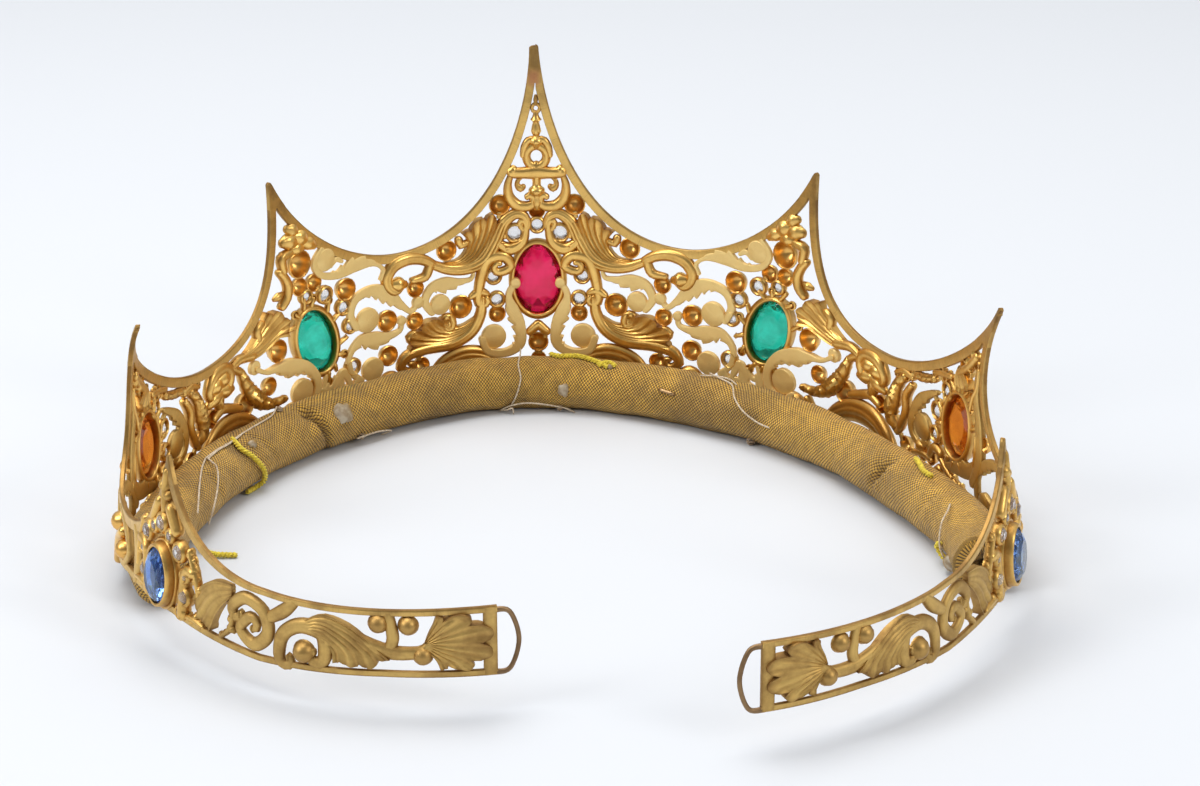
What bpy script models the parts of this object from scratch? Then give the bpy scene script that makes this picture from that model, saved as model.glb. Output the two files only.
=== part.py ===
"""Statue crown: a pierced brass band with seven horn-shaped peaks, stones and a padded cloth roll.

The band is charted flat, in millimetres: `s` runs along the wall from the centre of the front, `z` runs
up from the surface that the crown rests on. Both halves of the band share one chart. It is cut out as
one sheet, raised in relief and bent round the plan of the crown, which is not the same on both sides.
"""
import math
from collections import defaultdict

import bmesh
import bpy
from mathutils import Vector, geometry

MM = 0.001

# Where the centre of the front stands, so that the crown's box is centred on the origin.
FRONT_X = -7.8
FRONT_Y = 88.4

# Plan of each half: distance along the wall (mm), degrees that the wall turns in each 10 mm there.
LEFT_PLAN = [
    (0, 14.3), (20, 8.6), (40, 5.3), (60, 4.9), (80, 6.7), (100, 4.4),
    (120, 2.9), (140, 13.3), (160, 6.6), (190, 7.7), (220, 11.2), (250, 8.6),
]
RIGHT_PLAN = [
    (0, 12.2), (20, 6.5), (40, 4.8), (60, 6.0), (80, 6.7), (100, 3.9),
    (120, 2.4), (140, 6.8), (160, 11.1), (190, 4.9), (220, 6.7), (250, 10.3),
]
FRONT_HEADING = 0.8
WALL_LEAN = 4.4
LEAN_ENDS_AT = 210.0
LEAN_FADES_FROM = 170.0
# The left amber peak is bent inwards a little more: from which s and z, and by how much at its tip.
BENT_PEAK = {"side": -1, "from_s": 118.0, "to_s": 160.0, "from_z": 28.0, "to_z": 51.7, "bend": 2.3}
WALL_LENGTH = 256

SHEET = 0.8
RIM_WIDTH = 2.1
RAIL_WIDTH = 1.5
TAIL_END = 247.8
TAIL_BOTTOM = 6.9
TAIL_TOP = 19.9

STROKE_STEP = 3.0
BALL_SIDES = 9
CUP_SIDES = 8
COLLAR_SIDES = 16
SMALLEST_GAP = 1.5
SMALLEST_PIECE = 3.0
LINK_WIDTH = 1.2
LINK_ROUNDS = 5
EDGE_SLACK = 0.2
LONGEST_EDGE = 9.0
RELIEF_GAP = 2.0

# Height of the relief (mm) and how much of it the hollow back follows, for each finish.
RELIEF = {"stamped": (1.0, 0.7), "matte": (0.35, 0.0), "flat": (0.0, 0.0), "wire": (0.0, 0.0), "ball": (1.9, 0.8)}

# Upper edge of the rim, a row for each flank: start, two handles and end of its curve, as (s, z).
FLANKS = [
    ("centre peak down", (0.6, 81.0), (1.7, 68.5), (9.0, 37.0), (34.5, 37.0)),
    ("green peak up", (34.5, 37.0), (46.0, 37.0), (61.5, 46.0), (70.8, 60.1)),
    ("green peak down", (70.8, 60.1), (68.6, 40.0), (72.0, 25.6), (93.0, 25.6)),
    ("amber peak up", (93.0, 25.6), (107.0, 25.6), (128.0, 37.0), (146.0, 51.7)),
    ("amber peak down", (146.0, 51.7), (131.0, 40.0), (126.0, 17.4), (155.0, 18.4)),
    ("blue peak up", (155.0, 18.4), (165.0, 18.4), (174.0, 23.0), (178.0, 37.0)),
    ("blue peak down", (178.0, 37.0), (182.0, 28.0), (192.0, 20.2), (206.0, 20.0)),
    ("tail", (206.0, 20.0), (220.0, 18.9), (235.0, 19.7), (TAIL_END, TAIL_TOP)),
]

# Lower edge of the band: s, z.
LOWER_EDGE = [(0, 2.6), (130, 2.6), (158, 7.2), (180, 7.6), (204, 6.0), (228, 6.9), (TAIL_END, TAIL_BOTTOM)]

# Main stones: name, colour, s, z, half width, half height of the window, degrees that the top leans out.
STONES = [
    ("ruby_stone", "ruby", 0.0, 27.3, 5.5, 8.3, 0.0),
    ("green_stone", "green", 56.4, 21.3, 5.0, 7.9, 24.0),
    ("amber_stone", "amber", 121.0, 18.9, 5.0, 7.9, 27.0),
    ("blue_stone", "blue", 177.0, 14.4, 3.9, 5.6, 6.0),
]
COLLAR_WIDTH = 1.3
COLLAR_HEIGHT = 1.9
STONE_GAP = 0.3
# Rings of a cut stone from its table to its back: part of its size, distance outside the wall's middle.
MAIN_CUT = [(0.62, 3.4), (1.0, 1.5), (1.0, 0.8), (0.62, -0.3)]
SMALL_CUT = [(0.55, 1.7), (1.0, 0.6), (0.6, -0.3)]

# Small clear stones: s, z, radius of the cup's hole. Those at s = 0 are not mirrored.
RHINESTONES = [
    (0.0, 40.2, 1.4),
    (5.4, 38.4, 1.7), (10.4, 28.4, 1.4), (9.6, 22.8, 1.4),
    (54.0, 31.4, 1.5), (48.8, 27.4, 1.4), (46.8, 22.6, 1.3), (45.9, 12.7, 1.5), (59.4, 32.2, 1.2),
    (117.2, 25.2, 1.5), (112.4, 19.3, 1.6), (111.2, 13.9, 1.3),
    (177.0, 24.2, 1.5), (170.6, 20.6, 1.5), (183.4, 20.6, 1.5), (169.3, 12.6, 1.4), (184.9, 12.6, 1.4),
]
CUP_WALL = 0.65

# Hollow stamped balls: s, z, radius.
BALLS = [
    (9.0, 45.2, 2.2), (22.0, 35.8, 2.2), (29.7, 28.0, 1.9), (18.4, 22.0, 2.5), (9.6, 19.4, 1.8),
    (29.8, 20.3, 1.9), (37.0, 21.7, 2.3), (36.5, 13.3, 2.2), (28.0, 9.3, 1.9), (20.0, 5.6, 1.8),
    (61.8, 40.2, 2.9), (57.3, 35.0, 1.9), (61.6, 35.0, 1.9), (48.3, 31.4, 2.4), (67.8, 22.0, 2.4),
    (70.2, 14.6, 1.9), (78.0, 12.8, 2.5), (90.4, 13.6, 1.9), (83.2, 22.3, 1.7), (99.0, 7.2, 1.8),
    (109.0, 8.2, 1.9), (134.2, 19.6, 1.5), (152.4, 9.8, 1.9), (145.0, 12.6, 2.0), (227.4, 16.8, 1.7),
    (232.6, 16.6, 1.7), (235.0, 11.0, 1.7), (213.6, 9.8, 2.0),
]
CENTRE_BALLS = [(0.0, 43.6, 1.7), (0.0, 12.2, 2.1), (0.0, 8.2, 1.6)]

# Flat discs that end the matte scrolls: s, z, radius.
DISCS = [
    (10.4, 13.9, 2.8), (5.0, 26.6, 1.2), (23.3, 23.2, 2.3), (42.1, 22.9, 2.9), (29.0, 24.6, 1.4),
    (40.6, 10.9, 2.8), (32.8, 20.8, 1.3), (54.4, 39.6, 2.5), (60.3, 10.6, 3.0), (76.2, 20.3, 1.6),
    (106.4, 13.2, 2.9), (133.0, 6.6, 2.4),
]

# Strokes of the ornament, in order along the wall: finish, then the points (s, z, width) on its middle.
STROKES = [
    # Centre panel: the crossbar's curls, the two acanthus scrolls and the spiral between them.
    ("stamped", [(4.6, 52.6, 1.6), (7.0, 52.2, 1.7), (7.0, 48.2, 1.9), (5.0, 44.9, 1.9), (1.2, 45.4, 1.8)]),
    ("stamped", [(6.6, 49.9, 1.2), (4.4, 49.2, 1.9)]),
    ("stamped", [(1.8, 40.6, 1.6), (4.8, 43.0, 1.9), (8.2, 41.4, 2.6), (11.6, 36.6, 3.2), (15.6, 32.2, 2.9),
                 (20.0, 31.2, 2.3), (25.4, 32.9, 1.8)]),
    ("stamped", [(10.3, 42.7, 1.9), (11.7, 39.4, 2.3), (13.2, 35.4, 2.3)]),
    ("stamped", [(14.7, 41.6, 1.9), (14.5, 38.0, 2.5), (16.6, 33.6, 2.2)]),
    ("stamped", [(18.3, 38.2, 2.3), (16.9, 35.7, 1.8), (19.4, 32.6, 2.0)]),
    ("stamped", [(2.6, 40.2, 1.3), (3.4, 36.4, 1.9), (6.2, 34.6, 2.3), (9.2, 36.2, 1.8)]),
    ("stamped", [(25.6, 33.4, 2.0), (29.4, 35.0, 2.2), (34.4, 34.2, 2.4), (37.2, 31.0, 2.2), (34.6, 28.2, 1.9),
                 (33.0, 30.4, 1.9)]),
    ("stamped", [(26.0, 33.0, 1.8), (27.2, 30.4, 1.9), (30.4, 30.0, 1.3)]),
    ("stamped", [(8.4, 29.4, 1.8), (6.3, 30.6, 1.9), (8.0, 33.0, 2.2), (11.8, 32.5, 2.4), (13.4, 28.6, 2.2),
                 (14.2, 23.2, 1.8)]),
    ("stamped", [(10.8, 24.8, 1.4), (13.8, 25.0, 1.5), (16.8, 23.6, 1.5)]),
    ("stamped", [(13.2, 23.2, 1.9), (13.8, 18.8, 2.4), (17.4, 14.8, 2.7), (23.0, 13.8, 2.7), (29.0, 13.2, 2.4),
                 (33.2, 10.0, 2.0)]),
    ("stamped", [(21.6, 19.2, 2.1), (22.4, 16.8, 1.9), (24.6, 14.6, 1.8)]),
    ("stamped", [(26.8, 18.6, 2.0), (26.2, 16.6, 2.1), (27.6, 14.4, 1.8)]),
    ("stamped", [(30.6, 16.4, 1.9), (29.0, 15.2, 1.9), (30.2, 13.4, 1.7)]),
    ("matte", [(5.0, 26.4, 1.4), (6.4, 22.4, 2.3), (4.4, 18.2, 2.8), (4.6, 12.4, 2.8), (9.4, 9.8, 2.3),
               (13.0, 13.0, 2.1), (11.4, 16.4, 2.0)]),
    ("matte", [(15.6, 30.2, 1.2), (17.2, 28.2, 1.3), (21.6, 27.8, 2.7), (26.0, 27.0, 2.4), (26.9, 23.4, 2.1),
               (24.4, 21.2, 1.9)]),
    ("stamped", [(8.4, 5.2, 2.2), (11.4, 9.0, 2.6), (16.6, 10.6, 2.8), (22.4, 9.0, 2.8), (25.8, 4.0, 2.4)]),
    ("stamped", [(2.0, 14.6, 1.6), (0.0, 16.4, 1.8)]),
    ("stamped", [(2.0, 4.6, 2.0), (5.4, 6.2, 2.0), (9.0, 4.4, 2.0)]),
    ("stamped", [(33.6, 3.6, 1.8), (33.4, 7.2, 1.9), (37.0, 8.8, 2.0), (38.4, 5.6, 1.9), (36.0, 6.0, 1.5)]),
    # Between the panels and round the green stone.
    ("matte", [(28.8, 25.0, 1.8), (31.4, 23.2, 1.4), (35.0, 27.2, 2.5), (40.2, 29.8, 3.1), (45.6, 28.2, 2.7),
               (46.6, 24.0, 2.0), (43.6, 21.2, 1.8)]),
    ("matte", [(32.8, 20.6, 1.4), (34.4, 18.4, 1.7), (38.6, 18.6, 3.1), (43.4, 17.8, 3.1), (47.2, 14.6, 1.9),
               (46.6, 9.8, 1.8), (42.4, 8.6, 2.0)]),
    ("matte", [(38.6, 31.0, 1.2), (38.6, 34.6, 1.2), (43.6, 36.2, 2.9), (49.6, 35.6, 2.3), (56.0, 36.2, 1.9),
               (56.6, 40.6, 2.0), (54.0, 41.6, 1.6)]),
    ("matte", [(41.0, 4.0, 2.0), (45.2, 7.6, 2.2), (50.8, 7.2, 2.2), (55.4, 4.0, 2.0)]),
    ("stamped", [(58.4, 44.0, 2.4), (61.4, 46.0, 3.6), (65.4, 46.6, 3.6)]),
    ("stamped", [(64.2, 42.6, 2.2), (67.2, 42.4, 2.2), (66.8, 38.6, 2.2), (64.9, 35.4, 2.1), (67.0, 31.8, 2.3),
                 (70.6, 33.2, 2.0)]),
    ("stamped", [(65.0, 30.4, 2.8), (69.4, 29.0, 4.4), (73.4, 27.6, 3.2)]),
    ("stamped", [(66.2, 25.2, 2.4), (71.0, 25.6, 2.6), (76.0, 23.9, 2.3), (80.4, 25.2, 2.0)]),
    ("matte", [(76.0, 19.6, 1.6), (71.6, 18.2, 1.5), (65.6, 18.9, 3.0), (59.6, 16.8, 2.8), (56.8, 11.8, 2.6),
               (58.4, 7.2, 2.2), (62.2, 7.4, 1.8)]),
    ("stamped", [(65.4, 10.4, 2.0), (70.6, 10.8, 2.4), (75.8, 15.2, 3.1), (80.4, 21.0, 2.0)]),
    ("stamped", [(64.4, 3.2, 1.6), (64.0, 6.6, 1.8), (60.6, 6.0, 1.6), (60.4, 3.2, 1.8)]),
    ("stamped", [(80.4, 21.0, 1.6), (84.8, 23.4, 1.6)]),
    # Amber panel.
    ("stamped", [(81.8, 16.8, 2.0), (85.0, 18.4, 3.0), (88.6, 21.0, 4.4), (91.8, 18.0, 2.6)]),
    ("stamped", [(89.4, 23.4, 2.6), (88.6, 19.0, 4.2), (86.4, 14.8, 2.6), (79.6, 12.8, 1.7)]),
    ("stamped", [(71.0, 5.0, 2.2), (76.0, 9.0, 2.8), (82.6, 10.8, 3.1), (89.4, 9.2, 3.0), (93.6, 4.0, 2.4)]),
    ("stamped", [(101.8, 23.2, 2.6), (97.4, 23.0, 2.2), (94.4, 18.8, 2.8), (93.6, 13.8, 3.2), (97.6, 9.8, 2.2)]),
    ("stamped", [(104.8, 25.0, 1.8), (101.2, 22.0, 1.8), (99.0, 17.6, 2.0), (95.6, 15.0, 1.8)]),
    ("matte", [(112.4, 24.6, 1.8), (108.4, 21.6, 3.4), (103.2, 17.6, 3.0), (101.2, 12.0, 2.5), (103.8, 8.4, 2.0),
               (108.0, 9.0, 1.6)]),
    ("stamped", [(112.0, 27.6, 1.8), (115.0, 28.4, 2.4), (119.4, 29.0, 2.2)]),
    ("stamped", [(123.0, 31.2, 2.6), (127.4, 33.8, 3.6), (131.6, 37.2, 3.4)]),
    ("matte", [(127.4, 9.0, 2.6), (131.0, 15.0, 4.6), (131.8, 22.6, 4.4), (129.8, 28.8, 3.8), (131.8, 34.0, 3.0)]),
    ("matte", [(142.4, 17.6, 2.2), (135.6, 16.2, 2.3), (129.8, 11.6, 2.2), (129.6, 5.6, 2.2)]),
    ("matte", [(133.4, 8.4, 1.8), (138.8, 7.2, 2.0), (141.8, 11.4, 2.0), (141.6, 17.0, 2.0)]),
    ("stamped", [(113.2, 9.4, 2.2), (117.0, 6.6, 3.0), (122.6, 5.0, 2.6)]),
    ("stamped", [(109.4, 4.0, 1.8), (112.8, 6.4, 2.2)]),
    # Blue panel.
    ("matte", [(150.0, 17.6, 2.0), (155.4, 15.4, 2.4), (158.0, 11.6, 2.2), (155.0, 8.2, 2.0)]),
    ("stamped", [(145.0, 5.0, 1.8), (148.6, 10.6, 2.0), (152.4, 13.4, 1.8)]),
    ("matte", [(162.6, 17.6, 3.0), (164.0, 13.2, 4.4), (162.8, 8.2, 2.8)]),
    ("matte", [(190.8, 18.8, 3.0), (190.0, 14.2, 4.6), (191.2, 9.2, 2.8)]),
    ("stamped", [(178.0, 34.0, 2.6), (177.4, 29.6, 3.4), (177.0, 26.0, 2.2)]),
    ("stamped", [(172.6, 24.0, 2.0), (175.0, 27.6, 2.0)]),
    ("stamped", [(182.0, 24.0, 2.0), (179.6, 27.6, 2.0)]),
    ("stamped", [(166.6, 17.8, 2.0), (169.2, 17.0, 2.0), (170.4, 9.0, 2.2)]),
    ("stamped", [(187.4, 17.8, 2.0), (185.0, 17.0, 2.0), (183.8, 9.0, 2.2)]),
    ("stamped", [(194.0, 8.0, 1.6), (196.0, 12.0, 2.0), (195.4, 19.0, 1.8)]),
    # Tail: a ring scroll, a long acanthus scroll and a closed leaf.
    ("stamped", [(198.6, 15.6, 1.9), (201.6, 17.2, 1.9), (205.4, 15.6, 2.0), (206.2, 11.6, 2.0), (203.0, 8.8, 2.0),
                 (199.8, 11.0, 1.7), (201.6, 13.4, 1.7)]),
    ("stamped", [(206.0, 14.4, 1.6), (209.6, 16.6, 2.0), (211.8, 18.6, 1.6)]),
    ("stamped", [(208.4, 8.2, 1.8), (209.4, 12.2, 2.0), (213.0, 14.6, 2.2), (217.4, 13.8, 2.6), (217.6, 9.6, 2.0)]),
    ("stamped", [(214.4, 15.4, 2.0), (219.4, 15.8, 3.2), (223.6, 12.8, 4.2), (229.4, 11.4, 2.6), (234.6, 11.0, 1.6)]),
    ("stamped", [(229.2, 18.4, 1.5), (229.9, 14.0, 1.7), (228.8, 11.6, 1.5)]),
    ("stamped", [(234.2, 14.8, 1.8), (238.4, 13.7, 5.2), (243.4, 13.5, 5.4), (249.0, 13.2, 3.2)]),
    ("stamped", [(239.8, 18.8, 1.4), (240.8, 15.4, 1.6)]),
    ("stamped", [(236.6, 8.4, 1.4), (238.4, 11.6, 1.8)]),
    ("stamped", [(243.8, 8.2, 1.4), (243.2, 11.0, 1.8)]),
]

# Strokes that lie on the centre line and are not mirrored.
CENTRE_STROKES = [
    ("stamped", [(0.0, 69.6, 1.4), (0.0, 67.6, 2.3), (0.0, 65.2, 1.5), (0.0, 62.6, 2.2), (0.0, 58.6, 1.8)]),
    ("stamped", [(-5.6, 52.4, 1.8), (0.0, 52.2, 2.2), (5.6, 52.4, 1.8)]),
    ("stamped", [(0.0, 52.6, 1.6), (0.0, 48.6, 3.4), (0.0, 45.0, 2.0), (0.0, 36.2, 1.8)]),
]

# Closed ring of the centre column: s, z, radius of its middle, width.
CENTRE_RING = (0.0, 56.2, 2.5, 2.2)

# Wire loop soldered to each tail's end: distance beyond the tail, z and width of points on its middle.
END_LOOP = [(-0.8, 19.0, 1.2), (2.2, 18.5, 0.9), (3.8, 13.2, 0.9), (2.2, 7.9, 0.9), (-0.8, 7.4, 1.2)]
END_PLATE_WIDTH = 2.4

ROLL_RADIUS = 5.9
ROLL_SIDES = 12
ROLL_STEP = 9.5
# How far the roll's middle lies inside the wall: s, distance.
ROLL_INSET = {
    -1: [(0, 9.4), (60, 8.2), (110, 7.2), (160, 6.9)],
    1: [(0, 9.4), (40, 10.6), (80, 11.0), (120, 9.8), (150, 7.6), (160, 7.0)],
}
ROLL_REACH = {-1: 158.0, 1: 160.0}

# Material name: colour, metallic, roughness.
FINISHES = {
    "gilt_brass": ((0.60, 0.38, 0.13), 1.0, 0.38),
    "galloon_cloth": ((0.47, 0.31, 0.10), 0.0, 0.85),
    "ruby": ((0.70, 0.03, 0.13), 0.0, 0.08),
    "green": ((0.02, 0.42, 0.26), 0.0, 0.08),
    "amber": ((0.75, 0.22, 0.03), 0.0, 0.08),
    "blue": ((0.08, 0.26, 0.75), 0.0, 0.08),
    "clear": ((0.80, 0.82, 0.82), 0.0, 0.05),
}


def blend(rows, s):
    """Value at s of a table of (s, value) rows, straight between the rows."""
    for (s0, v0), (s1, v1) in zip(rows, rows[1:]):
        if s <= s1:
            t = max(0.0, (s - s0) / (s1 - s0))
            return v0 + (v1 - v0) * t
    return rows[-1][1]


def walk_plan(rows, heading):
    """Positions and headings at each millimetre along one half of the wall."""
    x, y = 0.0, 0.0
    stations = []
    for step in range(WALL_LENGTH + 1):
        stations.append((x, y, heading))
        turn = math.radians(blend(rows, step + 0.5)) / 10
        x += math.cos(heading + turn / 2)
        y -= math.sin(heading + turn / 2)
        heading += turn
    return stations


PLANS = {
    -1: walk_plan(LEFT_PLAN, math.radians(FRONT_HEADING)),
    1: walk_plan(RIGHT_PLAN, -math.radians(FRONT_HEADING)),
}


def on_wall(s, z, out):
    """World point in metres of chart place (s, z), `out` millimetres outside the wall's middle."""
    side = -1 if s < 0 else 1
    along = min(abs(s), WALL_LENGTH - 0.001)
    index = int(along)
    x0, y0, h0 = PLANS[side][index]
    x1, y1, h1 = PLANS[side][index + 1]
    t = along - index
    x, y, heading = x0 + (x1 - x0) * t, y0 + (y1 - y0) * t, h0 + (h1 - h0) * t
    fade = min(1.0, max(0.0, (LEAN_ENDS_AT - along) / (LEAN_ENDS_AT - LEAN_FADES_FROM)))
    push = out - math.tan(math.radians(WALL_LEAN)) * fade * z
    if side == BENT_PEAK["side"] and BENT_PEAK["from_s"] < along < BENT_PEAK["to_s"]:
        rise = max(0.0, (z - BENT_PEAK["from_z"]) / (BENT_PEAK["to_z"] - BENT_PEAK["from_z"]))
        push -= BENT_PEAK["bend"] * rise * rise
    x = side * (x + push * math.sin(heading)) + FRONT_X
    y = y + push * math.cos(heading) + FRONT_Y
    return Vector((x * MM, y * MM, z * MM))


def curve_points(start, handle_a, handle_b, end, count):
    """Points of one cubic curve, without its last one."""
    points = []
    for i in range(count):
        t = i / count
        weights = ((1 - t) ** 3, 3 * t * (1 - t) ** 2, 3 * t * t * (1 - t), t ** 3)
        points.append(tuple(
            sum(w * p[axis] for w, p in zip(weights, (start, handle_a, handle_b, end)))
            for axis in (0, 1)
        ))
    return points


def smooth_stroke(points, step):
    """Samples (s, z, width) on a smooth line through a stroke's points."""
    if len(points) == 2:
        return list(points)
    padded = [points[0]] + list(points) + [points[-1]]
    samples = []
    for a, b, c, d in zip(padded, padded[1:], padded[2:], padded[3:]):
        pieces = max(1, round(math.dist(b[:2], c[:2]) / step))
        for i in range(pieces):
            t = i / pieces
            samples.append(tuple(
                0.5 * (2 * q + (r - p) * t + (2 * p - 5 * q + 4 * r - u) * t * t
                       + (3 * q - p - 3 * r + u) * t ** 3)
                for p, q, r, u in zip(a, b, c, d)
            ))
    samples.append(points[-1])
    return samples


class Element:
    """One shape of the chart: its outlines, its relief and the inner points that carry the relief."""

    def __init__(self, finish, outlines, inner, height):
        self.finish = finish
        self.outlines = outlines
        self.inner = inner
        self.height = height


def stroke(finish, points, step=STROKE_STEP):
    samples = smooth_stroke(points, step)
    left, right = [], []
    last = len(samples) - 1
    for i, (s, z, width) in enumerate(samples):
        a, b = samples[max(0, i - 1)], samples[min(last, i + 1)]
        ds, dz = b[0] - a[0], b[1] - a[1]
        length = math.hypot(ds, dz)
        ns, nz = -dz / length * width / 2, ds / length * width / 2
        grow = {0: -1, last: 1}.get(i, 0) * 0.15 * width
        es, ez = ds / length * grow, dz / length * grow
        left.append((s + ns + es, z + nz + ez))
        right.append((s - ns + es, z - nz + ez))
    raised, _ = RELIEF[finish]

    def height(s, z):
        best = 0.0
        for (s0, z0, w0), (s1, z1, w1) in zip(samples, samples[1:]):
            ds, dz = s1 - s0, z1 - z0
            t = ((s - s0) * ds + (z - z0) * dz) / (ds * ds + dz * dz)
            t = min(1.0, max(0.0, t))
            half = (w0 + (w1 - w0) * t) / 2
            away = math.hypot(s - s0 - ds * t, z - z0 - dz * t) / half
            best = max(best, raised * math.sqrt(max(0.0, 1 - away * away)))
        return best

    inner = [p[:2] for p in samples[1:-1]] if raised > 0.5 else []
    return Element(finish, [left + right[::-1]], inner, height)


def disc(finish, s, z, radius, sides):
    turn = [2 * math.pi * i / sides for i in range(sides)]
    outline = [(s + radius * math.cos(a), z + radius * math.sin(a)) for a in turn]
    raised, _ = RELIEF[finish]
    raised = raised * radius / 2.2 if finish == "ball" else raised

    def height(ps, pz):
        away = math.hypot(ps - s, pz - z) / radius
        return raised * math.sqrt(max(0.0, 1 - away * away))

    inner = []
    if finish == "ball":
        inner = [(s, z)] + [(s + 0.66 * radius * math.cos(a), z + 0.66 * radius * math.sin(a))
                            for a in turn[::2]]
    return Element(finish, [outline], inner, height)


def oval_points(s, z, half_s, half_z, lean, sides):
    """Points of an oval whose top leans away from the centre."""
    tilt = math.radians(lean)
    points = []
    for i in range(sides):
        a = 2 * math.pi * i / sides
        u, v = half_s * math.cos(a), half_z * math.sin(a)
        points.append((s + u * math.cos(tilt) + v * math.sin(tilt), z - u * math.sin(tilt) + v * math.cos(tilt)))
    return points


def collar(s, z, half_s, half_z, lean, width, raised, sides):
    """Raised collar round a hole, in two halves so that each is a plain outline."""
    outer = oval_points(s, z, half_s + width, half_z + width, lean, sides)
    inner = oval_points(s, z, half_s, half_z, lean, sides)
    half = sides // 2
    halves = []
    for start in (0, half):
        pick = [(start + i) % sides for i in range(half + 1)]
        halves.append([outer[i] for i in pick] + [inner[i] for i in reversed(pick)])
    tilt = math.radians(lean)

    def height(ps, pz):
        u = (ps - s) * math.cos(tilt) - (pz - z) * math.sin(tilt)
        v = (ps - s) * math.sin(tilt) + (pz - z) * math.cos(tilt)
        ratio = math.hypot(u / half_s, v / half_z)
        reach = 1 + width / half_s
        return raised if ratio < (1 + reach) / 2 else 0.0

    return Element("flat", halves, [], height)


def strip(upper, lower):
    """Flat strip between two lines of points that run the same way."""
    return Element("flat", [list(lower) + list(upper)[::-1]], [], lambda s, z: 0.0)


def offset_line(points, distance):
    """The line `distance` to the right of a line of points."""
    moved = []
    last = len(points) - 1
    for i, (s, z) in enumerate(points):
        a, b = points[max(0, i - 1)], points[min(last, i + 1)]
        ds, dz = b[0] - a[0], b[1] - a[1]
        length = math.hypot(ds, dz)
        moved.append((s + dz / length * distance, z - ds / length * distance))
    return moved


def flank_lines():
    """The upper edge of one half, a line of points for each flank."""
    lines = []
    for _, start, handle_a, handle_b, end in FLANKS:
        count = max(5, round(math.dist(start, end) / 5.0))
        lines.append(curve_points(start, handle_a, handle_b, end, count) + [end])
    return lines


def ladder(line, inner):
    """Quads between two lines of points."""
    return [[line[i], line[i + 1], inner[i + 1], inner[i]] for i in range(len(line) - 1)]


def rim_quads():
    quads = []
    for line in flank_lines():
        quads += ladder(line, offset_line(line, RIM_WIDTH))
    return quads


def lower_line():
    stations = [12.0 * i for i in range(21)] + [TAIL_END]
    return [(s, blend(LOWER_EDGE, s)) for s in stations]


def mirrored(points):
    return [(-p[0],) + tuple(p[1:]) for p in points]


def chart_elements():
    """Every raised or flat shape of the band's ornament, on both halves."""
    elements = []
    for flip in (1, -1):
        turn = mirrored if flip < 0 else list
        for finish, points in STROKES:
            elements.append(stroke(finish, turn(points)))
        elements.append(stroke("wire", turn([(TAIL_END + beyond, z, width) for beyond, z, width in END_LOOP])))
        for s, z, radius in BALLS:
            elements.append(disc("ball", flip * s, z, radius, BALL_SIDES))
        for s, z, radius in DISCS:
            elements.append(disc("matte", flip * s, z, radius, BALL_SIDES))
        for name, _, s, z, half_s, half_z, lean in STONES:
            if s or flip > 0:
                elements.append(collar(flip * s, z, half_s, half_z, flip * lean,
                                       COLLAR_WIDTH, COLLAR_HEIGHT, COLLAR_SIDES))
        for s, z, radius in RHINESTONES:
            if s or flip > 0:
                elements.append(collar(flip * s, z, radius, radius, 0.0, CUP_WALL, 1.0, CUP_SIDES))
    for finish, points in CENTRE_STROKES:
        elements.append(stroke(finish, points))
    for s, z, radius in CENTRE_BALLS:
        elements.append(disc("ball", s, z, radius, BALL_SIDES))
    s, z, radius, width = CENTRE_RING
    elements.append(collar(s, z, radius - width / 2, radius - width / 2, 0.0, width, 0.6, 12))
    return elements


def hole_outlines():
    """The windows behind the stones, which stay open whatever crosses them."""
    holes = []
    for flip in (1, -1):
        for _, _, s, z, half_s, half_z, lean in STONES:
            if s or flip > 0:
                holes.append(oval_points(flip * s, z, half_s, half_z, flip * lean, COLLAR_SIDES))
        for s, z, radius in RHINESTONES:
            if s or flip > 0:
                holes.append(oval_points(flip * s, z, radius, radius, 0.0, CUP_SIDES))
    return holes


def band_outline():
    """The whole edge of the flat band, once round."""
    upper = []
    for line in flank_lines():
        upper += line[:-1]
    upper.append(FLANKS[-1][4])
    lower = lower_line()
    return mirrored(upper[::-1]) + upper + lower[::-1] + mirrored(lower[1:])


def area(points):
    return sum(a[0] * b[1] - b[0] * a[1] for a, b in zip(points, points[1:] + points[:1])) / 2


def cut_chart(elements):
    """Triangles of the flat band: the union of the shapes, less the windows, within its outline."""
    loops = []
    for element in elements:
        for outline in element.outlines:
            loops.append(("wire" if element.finish == "wire" else "metal", outline))
    for quad in rim_quads():
        loops += [("metal", quad), ("metal", mirrored(quad))]
    low = lower_line()
    for quad in ladder(low, offset_line(low, -RAIL_WIDTH)):
        loops += [("metal", quad), ("metal", mirrored(quad))]
    low_plate, high_plate = TAIL_BOTTOM, TAIL_TOP
    plate = [(TAIL_END - END_PLATE_WIDTH, low_plate), (TAIL_END, low_plate),
             (TAIL_END, high_plate), (TAIL_END - END_PLATE_WIDTH, high_plate)]
    loops += [("metal", plate), ("metal", mirrored(plate))]
    loops += [("hole", outline) for outline in hole_outlines()]
    loops.append(("outline", band_outline()))

    points, faces, roles = [], [], []
    for role, outline in loops:
        if area(outline) < 0:
            outline = outline[::-1]
        faces.append(list(range(len(points), len(points) + len(outline))))
        points += [Vector(p) for p in outline]
        roles.append(role)
    for element in elements:
        points += [Vector(p) for p in element.inner]
    verts, _, triangles, _, _, sources = geometry.delaunay_2d_cdt(points, [], faces, 0, 0.03, True)
    kept = []
    for source in sources:
        held = {roles[i] for i in source}
        inside = "metal" in held and "hole" not in held and "outline" in held
        kept.append(inside or "wire" in held)
    return verts, triangles, kept


def edge_table(triangles):
    table = defaultdict(list)
    for index, triangle in enumerate(triangles):
        for a, b in zip(triangle, triangle[1:] + triangle[:1]):
            table[(min(a, b), max(a, b))].append(index)
    return table


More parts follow.
